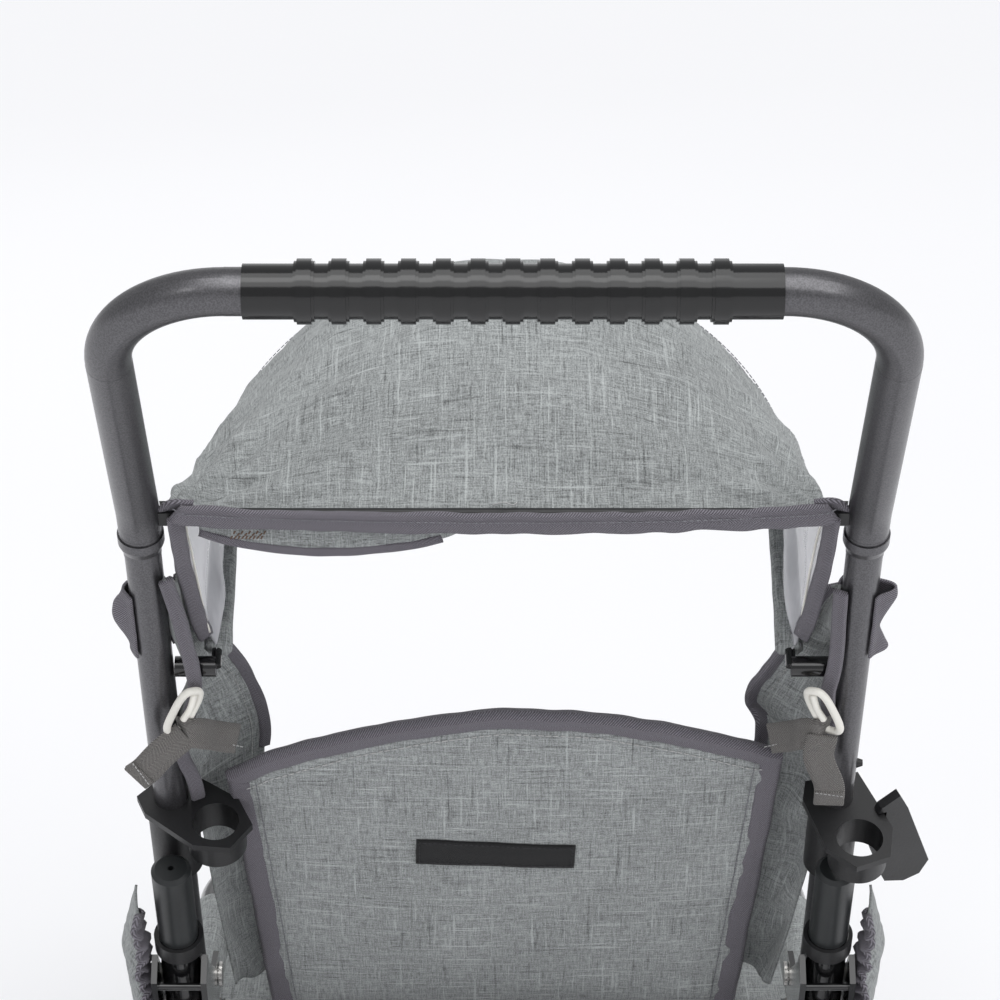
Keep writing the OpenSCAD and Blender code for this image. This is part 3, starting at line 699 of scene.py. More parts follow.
def paint(name, color, low, high, metal=0.0, coat=0.0, flake=0.0, grain=900.0, bumps=0.04):
    """A hard finish: paint, plastic or bare metal with a fine uneven surface."""
    made, net, shader, place = start_material(name, "Object")
    if net is None:
        return made
    wear = group_node(net, wear_group(), place, Grain=grain, Low=low, High=high)
    net.put(shader.inputs["Roughness"], wear.outputs["Roughness"])
    speck = net.noise(place, 1400.0 if flake else 40.0, 1.0)
    spread = flake if flake else 0.12
    net.put(
        shader.inputs["Base Color"],
        net.blend(
            net.ramp(speck, (0.35, 0.65, 0, 1)),
            shaded(color, 1 - spread),
            shaded(color, 1 + spread),
        ),
    )
    bump(net, shader, wear.outputs["Height"], bumps, 0.0003)
    shader.inputs["Metallic"].default_value = metal
    shader.inputs["Coat Weight"].default_value = coat
    shader.inputs["Coat Roughness"].default_value = 0.12
    return made


def black_enamel():
    return paint("black_enamel", (0.006, 0.006, 0.0066), 0.08, 0.2, coat=0.5)


def gunmetal_paint():
    base = bpy.context.scene.stroller_frame.gunmetal
    return paint("gunmetal_paint", base, 0.3, 0.42, metal=0.85, coat=0.25, flake=0.18, bumps=0.08)


def gloss_moulding():
    return paint("gloss_moulding", (0.004, 0.004, 0.0043), 0.1, 0.2, coat=0.15, bumps=0.02)


def plug_moulding():
    return paint("plug_moulding", (0.016, 0.018, 0.019), 0.3, 0.42, bumps=0.12)


def matt_moulding():
    return paint("matt_moulding", (0.011, 0.011, 0.012), 0.34, 0.5, bumps=0.22)


def bright_steel():
    return paint("bright_steel", (0.55, 0.54, 0.52), 0.22, 0.38, metal=1.0, flake=0.1)


def white_moulding():
    return paint("white_moulding", (0.82, 0.8, 0.74), 0.25, 0.38, coat=0.1)


def rim_moulding():
    return paint("rim_moulding", (0.5, 0.51, 0.53), 0.28, 0.42, coat=0.1, bumps=0.08)


def tyre_foam():
    return paint("tyre_foam", (0.014, 0.014, 0.015), 0.62, 0.85, grain=1500.0, bumps=0.6)


def label_cloth():
    # 1.9 and 0.5 set the painted rib highlight and the painted groove shade of the patch
    return twill_cloth("label_cloth", (0.008, 0.008, 0.009), 0.0006, 0.05, 1.9, 0.5)


def clear_film():
    """Soft milky film with faint ripples."""
    made, net, shader, place = start_material("clear_film")
    if net is None:
        return made
    haze = net.noise(net.stretch(place, (18, 55, 0)), 1.0, 3.0)
    net.put(
        shader.inputs["Base Color"],
        net.blend(haze, (0.5, 0.5, 0.53, 1), (0.78, 0.78, 0.82, 1)),
    )
    net.put(shader.inputs["Roughness"], net.ramp(haze, (0.3, 0.7, 0.16, 0.3)))
    net.put(shader.inputs["Alpha"], net.ramp(haze, (0.3, 0.7, 0.5, 0.66)))
    bump(net, shader, haze, 0.3, 0.002)
    shader.inputs["Specular IOR Level"].default_value = 0.7
    return made


# ---- settings ----


class StrollerStage(bpy.types.PropertyGroup):
    key: FloatProperty(
        name="Key light",
        description="Power of the main soft light",
        default=3.4,
        min=0,
        unit="POWER",
    )
    even: FloatProperty(
        name="Even light",
        description="Strength of the soft light over everything",
        default=1.95,
        min=0,
    )
    floor: FloatVectorProperty(
        name="Floor", description="Colour of the floor", default=(0.9, 0.9, 0.915), size=3, subtype="COLOR"
    )


class StrollerFrame(bpy.types.PropertyGroup):
    gunmetal: FloatVectorProperty(
        name="Handle paint",
        description="Colour of the handle's metallic paint",
        default=(0.115, 0.113, 0.12),
        size=3,
        subtype="COLOR",
    )


class StrollerCloth(bpy.types.PropertyGroup):
    marl: FloatVectorProperty(
        name="Marl", description="Middle colour of the marl cloth", default=(0.24, 0.252, 0.252), size=3, subtype="COLOR"
    )
    tape: FloatVectorProperty(
        name="Tape", description="Colour of the twill binding", default=(0.165, 0.155, 0.178), size=3, subtype="COLOR"
    )
    tape_width: FloatProperty(
        name="Tape width", description="Width of the binding", default=0.0105, min=0.006, max=0.016, unit="LENGTH"
    )
    wrinkle: FloatProperty(
        name="Wrinkle", description="Height of the hood's wrinkles", default=0.0038, min=0, max=0.006, unit="LENGTH"
    )
    back_puff: FloatProperty(
        name="Back padding", description="Half thickness of the seat back", default=0.005, min=0.002, max=0.012, unit="LENGTH"
    )
    cushion_puff: FloatProperty(
        name="Cushion padding", description="Air pressure in the seat cushion", default=4.0, min=0, max=8
    )


# ---- stage ----


class STROLLER_OT_stage(bpy.types.Operator):
    """Floor, soft lights and the camera"""

    bl_idname = "stroller.stage"
    bl_label = "Stage"

    def execute(self, context):
        scene = context.scene
        data = bpy.data.cameras.new("camera")
        camera = bpy.data.objects.new("camera", data)
        scene.collection.objects.link(camera)
        # 115 mm on a 36 mm film width, 20 degrees down from behind the push bar
        data.lens, data.sensor_width = 115.2, 36
        data.clip_start, data.clip_end = 0.05, 30
        camera.location = hem(1.7, 1355.6, 500.6)
        down = math.radians(20)
        look = Vector((0, -math.cos(down), -math.sin(down)))
        camera.rotation_mode = "QUATERNION"
        camera.rotation_quaternion = look.to_track_quat("-Z", "Y")
        scene.camera = camera

        settings = scene.stroller_stage
        floor = new_piece("floor", [(-9, -9, 0), (9, -9, 0), (9, 9, 0), (-9, 9, 0)], [(0, 1, 2, 3)])
        made, net, shader, place = start_material("floor_paper", "Object")
        tone = net.noise(place, 3.0, 2.0)
        color = tuple(settings.floor)
        net.put(
            shader.inputs["Base Color"],
            net.blend(tone, shaded(color, 0.995), shaded(color, 1.005)),
        )
        shader.inputs["Roughness"].default_value = 0.9
        floor.data.materials.append(made)

        world = bpy.data.worlds.new("studio")
        world.use_nodes = True
        sky = world.node_tree.nodes["Background"]
        sky.inputs[0].default_value = (0.97, 0.98, 1.0, 1)
        sky.inputs[1].default_value = 0.5
        scene.world = world
        soft = (
            ("key", (1.3, 1.9, 1.9), 0.5, settings.key, (0.0, 0.05, 0.45)),
            ("fill", (-1.5, 1.7, 1.7), 0.5, settings.key * 0.7, (0, 0.05, 0.4)),
            ("top", (0.1, 1.0, 2.2), 0.6, settings.key * 0.55, (0, 0, 0.3)),
            ("front", (0.4, -2.2, 1.4), 1.4, settings.key * 0.5, (0, 0, 0.3)),
        )
        for name, place, size, power, aim in soft:
            lamp = bpy.data.lights.new(name, "AREA")
            lamp.shape, lamp.size, lamp.energy = "SQUARE", size, power
            light = bpy.data.objects.new(name, lamp)
            light.location = place
            light.rotation_mode = "QUATERNION"
            light.rotation_quaternion = (Vector(aim) - Vector(place)).to_track_quat("-Z", "Y")
            scene.collection.objects.link(light)
        # one very soft sun keeps the floor even out to the far edge of the picture
        sun = bpy.data.lights.new("even", "SUN")
        sun.energy, sun.angle = settings.even, math.radians(70)
        lamp = bpy.data.objects.new("even", sun)
        lamp.rotation_mode = "QUATERNION"
        lamp.rotation_quaternion = Vector((0.25, -0.45, -1)).to_track_quat("-Z", "Y")
        scene.collection.objects.link(lamp)
        scene.view_settings.view_transform = "Standard"
        return {"FINISHED"}


# ---- hard pieces ----


class STROLLER_OT_finishes(bpy.types.Operator):
    """Paints the frame, mouldings, wheels and pins"""

    bl_idname = "stroller.finishes"
    bl_label = "Frame finishes"

    def execute(self, context):
        finishes = {
            "black_frame": black_enamel(),
            "gunmetal": gunmetal_paint(),
            "gloss_black": gloss_moulding(),
            "matt_black": matt_moulding(),
            "bright_steel": bright_steel(),
            "marl_cloth": marl_cloth("marl_on_frame", "Object"),
            "white_plastic": white_moulding(),
            "rim_plastic": rim_moulding(),
            "tyre": tyre_foam(),
        }
        special = {"plug_l": plug_moulding(), "plug_r": plug_moulding()}
        for piece in list(context.scene.objects):
            if "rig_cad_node" not in piece:
                continue
            node = piece["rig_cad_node"]
            for row in frame["record"]["subparts"]:
                if row["node"] == node and row["material_slot"] in finishes:
                    finish = special.get(node, finishes[row["material_slot"]])
                    if piece.material_slots:
                        piece.material_slots[0].material = finish
                    else:
                        piece.data.materials.append(finish)
        return {"FINISHED"}


# ---- hood ----


def hood_point(u, v, lift=0.0):
    """The hood's cloth: u from the hem to the bow, v over the arch from -X to +X."""
    a = math.pi * v
    up = max(0.0, math.sin(a))
    q = mix(BOW_LOW, 1, up)
    x = -(HOOD_HALF + 1 - 6.5 * u + lift) * math.cos(a)
    y0, z0 = 3, 4 - 6 * up
    y1 = BOW_DY - (BOW_LEN + lift) * q * math.sin(BOW_TILT)
    z1 = BOW_DZ + (BOW_LEN + lift) * q * math.cos(BOW_TILT)
    crown = 47 * math.sin(math.pi * u) ** 0.85 * up**1.35
    slack = -5 * math.sin(math.pi * min(1, u * 1.6)) * (1 - up)
    return x + slack * math.copysign(1, math.cos(a)) * 0.4, mix(y0, y1, u), mix(z0, z1, u) + crown


def hood_wrinkle(x, y, z, u, v):
    """Pull lines that fan out of the hem's ends and cross ripples over the crown."""
    left, right = math.hypot(x - 150, y), math.hypot(x + 150, y)
    turn_l = math.atan2(y - 4, x - 152)
    turn_r = math.atan2(y - 4, x + 152)
    fan_l = math.exp(-left / 85) * (
        0.6 * math.sin(
            turn_l * 17 + 1.5 * rough(x, y, z, 30, 3)
        ) + 0.7 * rough(turn_l * 90, left / 3, 0, 14, 5)
    )
    fan_r = math.exp(-right / 85) * (
        0.6 * math.sin(
            turn_r * 15 + 1.5 * rough(x, y, z, 32, 8)
        ) + 0.7 * rough(turn_r * 90, right / 3, 0, 15, 2)
    )
    bars = crease(x * 0.5 + 9 * rough(x, y, z, 60, 1), y * 1.9, z, 34, 4.2) - 0.4
    spots = rough(x, y, z, 26, 6.1) * 0.5 + rough(x, y, z, 60, 9.1) * 0.6
    edge = min(1, 6 * (1 - u), 14 * u + 0.15)
    return (1.5 * fan_l + 1.3 * fan_r + 0.75 * bars + 0.8 * spots) * edge


def hood_blend(piece):
    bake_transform(piece)


class STROLLER_OT_hood(bpy.types.Operator):
    """Hood cloth with its hem, brow tape and side windows"""

    bl_idname = "stroller.hood"
    bl_label = "Hood"

    def execute(self, context):
        settings = context.scene.stroller_cloth
        cloth, tape = marl_cloth(), twill_tape()
        n, m = ((90, 170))
        points = np.zeros((n + 1, m + 1, 3))
        for i in range(n + 1):
            for j in range(m + 1):
                u, v = i / n, j / m
                x, y, z = hood_point(u, v)
                points[i, j] = (x, y, z)
        normals = grid_normals(points)
        if normals[n // 2, m // 2, 2] < 0:
            normals = -normals
        for i in range(n + 1):
            for j in range(m + 1):
                x, y, z = points[i, j]
                points[i, j] += (
                    normals[i, j] * settings.wrinkle * 1000 * hood_wrinkle(x, y, z, i / n, j / m)
                )
        world = np.array([[hem(*p) for p in row] for row in points])
        hood = cloth_sheet("hood", world, cloth, 0.0011)
        hood_blend(hood)
        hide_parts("hood")

        # hem tape over the rear edge: a fold of tape that sags between the rod's ends
        rear = world[0]
        hem_path = smooth_path(rear[::6], 150)
        hem_tape = band(
            "hood_hem_tape",
            hem_path + (0, 0.0042, 0.0006),
            (0, 0.3, 1),
            0.0115,
            0.0038,
            tape,
            ripple=0.0011,
            seed=2,
        )
        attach(hem_tape, "handle")
        seam = stitches("hood_hem_stitches", [hem_path + (0, 0.0072, 0.0018)], grey_thread())
        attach(seam, "handle")
        # the inner turn-up of the hem, hanging a little lower towards one side
        flap = []
        for t in np.linspace(0, 1, 60):
            x = mix(138, 20, t)
            low = -(9 + 10 * math.sin(math.pi * t) ** 0.7 + 0.8 * rough(x, 0, 0, 12))
            flap.append([hem(x, -1.5 - 2 * s, mix(-3, low, s)) for s in np.linspace(0, 1, 6)])
        turn_up = cloth_sheet("hood_turn_up", flap, cloth, 0.0012)
        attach(turn_up, "handle")
        lip = band(
            "hood_turn_up_tape",
            smooth_path([row[-1] for row in flap][::5], 60),
            (0, 0.2, 1),
            0.005,
            0.0018,
            tape,
            ripple=0.0006,
        )
        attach(lip, "handle")
        # brown bar tack and a loose pale thread end on the hem
        rows = []
        for k in range(9):
            x = 122 - k * 1.7
            rows.append([hem(x + 0.7, 6.2, -8.5), hem(x - 0.7, 6.4, -6 - (k % 2))])
        tack = stitches("hood_bar_tack", rows, brown_thread(), 0.0015, 0.0016, 0.0004)
        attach(tack, "handle")
        loose = wire(
            "hood_loose_thread",
            smooth_path([hem(5, 0.5, 5), hem(0, 1.5, 6.6), hem(-4, 1, 5.2), hem(-6, 0, 6)], 24),
            0.0003,
            pale_thread(),
            sides=6,
        )
        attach(loose, "handle")
        for s in (-1, 1):
            loop = [
                hem(s * x, y, z)
                for x, y, z in ((140, 4, 6), (148, 5, 7), (152, 2, 3), (152, -3, -2), (147, -5, -6))
            ]
            knot = band(
                f"hood_hem_end_{'l' if s > 0 else 'r'}",
                smooth_path(loop, 40),
                (0, 0.7, 0.7),
                0.010,
                0.0026,
                tape,
                ripple=0.0008,
                seed=s,
            )
            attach(knot, "handle")

        # brow: tape round the bow, and the stitch line behind it
        brow = []
        for j in range(121):
            a = math.pi * j / 120
            q = mix(BOW_LOW, 1, max(0.0, math.sin(a)))
            brow.append(bow(-(HOOD_HALF - 4.5) * math.cos(a), (BOW_LEN + 0.5) * q))
        outward = [(-math.cos(math.pi * j / 120), 0, 0) for j in range(121)]
        slope = np.array(bow(0, 1)) - np.array(bow(0, 0))
        plane = unit(np.array(bow(0, 0, 1)) - np.array(bow(0, 0, 0)))
        brow_tape = band("hood_brow_tape", brow, plane, 0.012, 0.0032, tape, ripple=0.0008, seed=5)
        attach(brow_tape, "hood_bow")
        line = np.array(brow) - plane * 0.0085
        line += unit(np.array([o for o in outward]) + slope * 500) * 0.0012
        seam = stitches("hood_brow_stitches", [line[6:-6]], grey_thread())
        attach(seam, "hood_bow")

        for s in (-1, 1):
            self.side_window(s, tape, cloth)
        return {"FINISHED"}

    def side_window(self, s, tape, cloth):
        """Milky film between the hood's side edge, the bow and the handle tube."""
        side = "l" if s > 0 else "r"
        n, m = 46, 26
        rear = smooth_path([(147, 4, 206), (146, 0, 172), (143, -6, 130), (140, -12, 106)], n + 1)
        low_edge = BOW_LEN * BOW_LOW
        grid = []
        for i in range(n + 1):
            u = i / n
            at_bow = mix(low_edge, 7, u)
            fore = np.array(bow(s * 136, at_bow, -1.5)) * 1000
            back = np.array(post(s * rear[i][0], rear[i][1], rear[i][2])) * 1000
            row = []
            for j in range(m + 1):
                v = j / m
                p = back + (fore - back) * v
                full = math.sin(math.pi * v) * math.sin(math.pi * min(1, 0.1 + 0.9 * u))
                fold = 3.4 * math.sin(v * 11 + 3.1 * u + s) * full + 2.2 * rough(p[0], p[1], p[2], 26, 3 + s) * math.sin(math.pi * v)
                fold += 1.0 * rough(
                    p[0] * 2, p[1] * 2, p[2] * 0.4, 16, 5 + s
                ) * math.sin(math.pi * v)
                row.append(((p[0] + fold - s * 3 * full) / 1000, p[1] / 1000, p[2] / 1000))
            grid.append(row)
        grid = np.array(grid)
        film = cloth_sheet(f"window_film_{side}", grid, clear_film(), 0.0005)
        hood_blend(film)
        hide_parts(f"window_{side}")
        edge = [post(s * (x + 1), b + 1, h) for x, b, h in rear[::3]]
        rim = band(
            f"window_edge_tape_{side}",
            smooth_path(edge, 90),
            (s * 0.8, 0.6, -0.2),
            0.0085,
            0.0028,
            tape,
            ripple=0.0007,
            seed=3 + s,
        )
        hood_blend(rim)
        weld = [tuple(grid[i, 3] + (-s * 0.0004, 0.0006, 0)) for i in range(1, n)]
        line = wire(
            f"window_weld_{side}", smooth_path(weld[::3], 70), 0.0006, white_moulding(), sides=6
        )
        hood_blend(line)
        # cloth sleeve round the bow's leg, from the hood's edge to the pivot
        leg = [
            bow(s * (136.2 + 0.5 * rough(k, 0, 0, 9, s)), k)
            for k in np.linspace(low_edge + 6, 9, 26)
        ]
        sleeve = band(
            f"bow_sleeve_{side}",
            smooth_path(leg[::3] + [leg[-1]], 60),
            (1, 0, 0),
            0.0135,
            0.0078,
            cloth,
            ripple=0.001,
            seed=s,
        )
        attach(sleeve, "hood_bow")
        seam = [tuple(np.array(p) + (s * 0.0052, 0.0012, 0.0036)) for p in leg]
        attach(stitches(f"bow_sleeve_stitches_{side}", [seam], grey_thread()), "hood_bow")
        return film


# ---- padded seat ----


def block(name, grid_front, grid_back):
    """A closed block between two grids of points with the same outline."""
    a, b = np.asarray(grid_front, float), np.asarray(grid_back, float)
    n, m = a.shape[:2]
    k = n * m
    verts = np.concatenate([a.reshape(-1, 3), b.reshape(-1, 3)])
    faces = []
    for i in range(n - 1):
        for j in range(m - 1):
            c = i * m + j
            faces.append((c, c + m, c + m + 1, c + 1))
            faces.append((k + c, k + c + 1, k + c + m + 1, k + c + m))
    rim = [i * m for i in range(n)]
    rim += [(n - 1) * m + j for j in range(1, m)]
    rim += [i * m + m - 1 for i in range(n - 2, -1, -1)]
    rim += [j for j in range(m - 2, 0, -1)]
    for p, q in zip(rim, rim[1:] + rim[:1]):
        faces.append((p, k + p, k + q, q))
    return face_out(new_piece(name, verts, faces))


def relax_as_cloth(piece, pressure, hold, most, frames=20):
    """Fills a closed piece like a cushion. hold(place) pins a point; most caps the move."""
    mesh = piece.data
    before = np.array([v.co for v in mesh.vertices], float)
    pins = piece.vertex_groups.new(name="pins")
    held = [v.index for v in mesh.vertices if hold(v.co)]
    pins.add(held, 1.0, "REPLACE")
    cloth = piece.modifiers.new("cloth", "CLOTH")
    cloth.settings.quality = 6
    cloth.settings.mass = 0.25
    cloth.settings.tension_stiffness = 22
    cloth.settings.compression_stiffness = 8
    cloth.settings.shear_stiffness = 8
    cloth.settings.bending_stiffness = 0.8
    cloth.settings.use_pressure = True
    cloth.settings.uniform_pressure_force = pressure
    cloth.settings.vertex_group_mass = "pins"
    cloth.settings.effector_weights.gravity = 0
    cloth.collision_settings.use_collision = False
    cloth.point_cache.frame_start, cloth.point_cache.frame_end = 1, frames
    scene = bpy.context.scene
    for step in range(1, frames + 1):
        scene.frame_set(step)
    evaluated = piece.evaluated_get(bpy.context.evaluated_depsgraph_get())
    after = np.array([v.co for v in evaluated.data.vertices], float)
    piece.modifiers.remove(cloth)
    scene.frame_set(1)
    move = after - before
    far = np.linalg.norm(move, axis=1, keepdims=True)
    move *= np.minimum(1, most / np.maximum(far, 1e-9))
    mesh.vertices.foreach_set("co", (before + np.nan_to_num(move)).ravel())
    mesh.update()


def remesh(piece, size):
    """Even small faces all over a closed block."""
    voxel = piece.modifiers.new("voxels", "REMESH")
    voxel.mode, voxel.voxel_size = "VOXEL", size
    made = bpy.data.meshes.new_from_object(
        piece.evaluated_get(bpy.context.evaluated_depsgraph_get())
    )
    piece.modifiers.remove(voxel)
    old = piece.data
    piece.data = made
    bpy.data.meshes.remove(old)


def flat_uv(piece, u_way, v_way):
    """A UV map in metres, seen square on."""
    mesh = piece.data
    layer = mesh.uv_layers.get("UVMap") or mesh.uv_layers.new(name="UVMap")
    u_way, v_way = Vector(u_way), Vector(v_way)
    for loop in mesh.loops:
        co = mesh.vertices[loop.vertex_index].co
        layer.data[loop.index].uv = (co.dot(u_way), co.dot(v_way))


def laid_on(piece, points, lift):
    """The points moved along the seat back's normal onto the piece, and lift mm off it."""
    tree = BVHTree.FromPolygons(
        [v.co for v in piece.data.vertices], [tuple(p.vertices) for p in piece.data.polygons]
    )
    out = Vector((0, math.cos(LEAN), -math.sin(LEAN)))
    way = out if lift > 0 else -out
    moved = []
    for p in points:
        p = Vector(p)
        hit = tree.ray_cast(p + way * 0.05, -way)[0]
        moved.append(tuple((hit or p) + out * lift / 1000))
    return moved


def back_half(s):
    return 137 - 14 * (BACK_TOP - s) / (BACK_TOP + PIVOT_DROP)


def back_rise(v):
    """Height of the seat back's top edge at v across it: arched, and lower towards +X."""
    across = (-1, -0.66, -0.34, 0, 0.27, 0.56, 0.87, 1)
    height = (31, 47, 58, 61, 55, 44, 27, 15)
    return float(np.interp(2 * v - 1, across, height))


class STROLLER_OT_seat_back(bpy.types.Operator):
    """Padded seat back with its tapes and blank patch"""

    bl_idname = "stroller.seat_back"
    bl_label = "Seat back"

    def execute(self, context):
        settings = context.scene.stroller_cloth
        cloth, tape = marl_cloth(), twill_tape()
        puff = settings.back_puff * 1000
        n = 26
        low = -PIVOT_DROP - 31

        def edge(u, v):
            return min(1.0, 14 * min(u, 1 - u, v, 1 - v) + 0.25)

        def place(u, v, f):
            s = mix(low, back_rise(v), u)
            return post((2 * v - 1) * back_half(s), -2 + f * puff * edge(u, v), s)

        front = [[place(i / n, j / n, -1) for j in range(n + 1)] for i in range(n + 1)]
        rear = [[place(i / n, j / n, 1) for j in range(n + 1)] for i in range(n + 1)]
        back = block("seat_back", front, rear)
        up, out = Vector((0, math.sin(LEAN), math.cos(LEAN))), Vector(
            (0, math.cos(LEAN), -math.sin(LEAN))
        )
        remesh(back, 0.0052)
        home = Vector(post(0, -2, 0))

        def at_rim(co):
            s = (co - home).dot(up) * 1000
            v = (co.x * 1000 / back_half(s) + 1) / 2
            u = (s - low) / (back_rise(min(1, max(0, v))) - low)
            return min(u, 1 - u, v, 1 - v) < 0.035

        relax_as_cloth(back, 4.0, at_rim, 0.005)
        # slack cloth over the padding: long shallow waves across and a few pull lines
        for v in back.data.vertices:
            p = v.co
            s = (p - Vector(post(0, -2, 0))).dot(up) * 1000
            x = p.x * 1000
            fade = min(1.0, 9 * min((s - low) / 220, 1 - (s - low) / 232) + 0.1)
            wave = 1.1 * rough(x * 0.45, s * 1.2, 0, 34, 2.2) + 0.9 * rough(x, s, 0, 85, 7)
            wave += 0.5 * crease(x * 0.4, s * 1.6, 0, 40, 5) + 0.35 * rough(x, s, 0, 15, 1.1)
            rear_side = 1 if (p - Vector(post(0, -2, 0))).dot(out) > 0 else -1
            v.co = p + out * (0.0011 * wave * max(0, fade) * (1.0 if rear_side > 0 else 0.7))
        flat_uv(back, (1, 0, 0), up)
        finer = back.modifiers.new("soft", "SUBSURF")
        finer.levels = finer.render_levels = 1
        back.data.materials.clear()
        back.data.materials.append(cloth)
        back.data.shade_smooth()
        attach(back, "handle")
        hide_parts("seat_back")

        # top binding, and a pale stitch line under it, on both faces
        top = [
            post((2 * v - 1) * (back_half(back_rise(v)) + 1), -2, back_rise(v) - 3.5)
            for v in np.linspace(0, 1, 60)
        ]
        top = smooth_path(top[::6] + [top[-1]], 150)
        rim = band(
            "back_top_tape",
            top,
            (0, math.sin(LEAN), math.cos(LEAN)),
            0.0115,
            0.0078,
            tape,
            ripple=0.0006,
            seed=1,
        )
        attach(rim, "handle")
        rows = []
        for f in (-1, 1):
            rows.append(
                [
                    post(
                        (2 * v - 1) * (back_half(back_rise(v)) - 2),
                        -2 + f * 5.6,
                        back_rise(v) - 11.0,
                    )
                    for v in np.linspace(0.01, 0.99, 120)
                ]
            )
        rows = [laid_on(back, row, 0.3 * f) for row, f in zip(rows, (-1, 1))]
        seam = stitches("back_top_stitches", rows, pale_thread(), 0.0036, 0.0026, 0.00034)
        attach(seam, "handle")
        for s in (-1, 1):
            side = "l" if s > 0 else "r"
            heights = np.linspace(low + 2, back_rise(0.5 + s / 2) - 3, 60)
            line = [
                post(s * (back_half(h) - 3.5 + 1.1 * rough(h, 0, 0, 40, s)), -2, h)
                for h in heights
            ]
            strip = band(
                f"back_side_tape_{side}",
                smooth_path(line[::4] + [line[-1]], 110),
                (1, 0, 0),
                0.0135,
                0.0072,
                tape,
                ripple=0.0009,
                seed=s * 4,
            )
            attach(strip, "handle")
            rows = [
                [post(s * (back_half(h) - 11.2), -2 + f * 5.0, h) for h in heights]
                for f in (-1, 1)
            ]
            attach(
                stitches(f"back_side_stitches_{side}", rows, grey_thread(), 0.0036, 0.0026),
                "handle",
            )

        # blank woven patch, slightly askew, held by a border of stitches
        tilt = math.radians(2)

        def on_patch(a, b, lift):
            x = a * math.cos(tilt) - b * math.sin(tilt)
            y = a * math.sin(tilt) + b * math.cos(tilt)
            return post(4 + x, 5.5 + lift, -38 + y)

        w, h = 40, 9.2
        face = [
            laid_on(
                back,
                [
                    on_patch(mix(-w, w, i / 30), mix(-h, h, j / 8), 0.5 * rough(i, j, 0, 5))
                    for j in range(9)
                ],
                0.7,
            )
            for i in range(31)
        ]
        patch = cloth_sheet("back_patch_cloth", face, label_cloth(), 0.0012)
        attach(patch, "handle")
        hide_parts("back_patch")
        rim = []
        for inset, lift in ((1.6, 1.3), (4.6, 1.3)):
            a, b = w - inset, h - inset
            corners = [(-a, -b), (a, -b), (a, b), (-a, b), (-a, -b)]
            rim.append(
                [
                    on_patch(mix(p[0], q[0], t), mix(p[1], q[1], t), lift)
                    for p, q in zip(corners, corners[1:]) for t in np.linspace(0, 1, 30, endpoint=False)
                ]
            )
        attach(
            stitches(
                "patch_stitches",
                [laid_on(back, rim[0], 1.5)],
                thread("black_thread", (0.03, 0.03, 0.034)),
                0.0026,
                0.0019,
                0.0003,
            ),
            "handle",
        )
        return {"FINISHED"}


class STROLLER_OT_cushion(bpy.types.Operator):
    """Crowned seat cushion with piping and a line of quilting stitches"""

    bl_idname = "stroller.cushion"
    bl_label = "Seat cushion"

    def execute(self, context):
        lo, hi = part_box("seat_cushion")
        lo, hi = lo * 1000, hi * 1000
        n = 24
        mid_z = (lo.z + hi.z) / 2 - 1

        def place(u, v, f):
            e = min(u, 1 - u, v, 1 - v)
            corner = 1 - 0.03 * (abs(2 * u - 1) ** 8 * abs(2 * v - 1) ** 8)
            thick = 3.0 + 4.2 * min(1, e * 9) ** 0.6
            x = mix(lo.x, hi.x, u) * corner
            y = mix(lo.y, hi.y, 0.5 + (v - 0.5) * corner)
            return (x / 1000, y / 1000, (mid_z + f * thick) / 1000)

        top = [[place(i / n, j / n, 1) for j in range(n + 1)] for i in range(n + 1)]
        low = [[place(i / n, j / n, -1) for j in range(n + 1)] for i in range(n + 1)]
        pad = block("seat_cushion", top, low)
        remesh(pad, 0.0055)
        cx, cy = (lo.x + hi.x) / 2000, (lo.y + hi.y) / 2000
        wx, wy = (hi.x - lo.x) / 2000, (hi.y - lo.y) / 2000

        def at_rim(co):
            rim = max(abs(co.x - cx) / wx, abs(co.y - cy) / wy) > 0.965
            seam = abs(co.y - cy) < 0.0035
            return rim or seam or co.z < (mid_z - 4) / 1000

        relax_as_cloth(pad, context.scene.stroller_cloth.cushion_puff, at_rim, 0.006)
        finer = pad.modifiers.new("soft", "SUBSURF")
        finer.levels = finer.render_levels = 1
        flat_uv(pad, (1, 0, 0), (0, 1, 0))
        pad.data.materials.clear()
        pad.data.materials.append(marl_cloth())
        pad.data.shade_smooth()
        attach(pad, "frame")
        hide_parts("seat_cushion")
        ring = []
        for a in np.linspace(0, 2 * math.pi, 200, endpoint=False):
            c, s = math.cos(a), math.sin(a)
            k = 1 / (abs(c) ** 14 + abs(s) ** 14) ** (1 / 14)
            ring.append((
                (mix(lo.x, hi.x, 0.5) + (hi.x - lo.x) / 2 * c * k * 0.997) / 1000,
                (mix(lo.y, hi.y, 0.5) + (hi.y - lo.y) / 2 * s * k * 0.997) / 1000,
                (mid_z + 1.5) / 1000,
            ))
        piping = wire("cushion_piping", ring, 0.0022, twill_tape(), closed=True, sides=10)
        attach(piping, "frame")
        cy = (lo.y + hi.y) / 2000
        row = [((x) / 1000, cy, (mid_z + 7.2) / 1000) for x in np.linspace(lo.x + 8, hi.x - 8, 90)]
        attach(stitches("cushion_quilting", [row], pale_thread()), "frame")
        return {"FINISHED"}


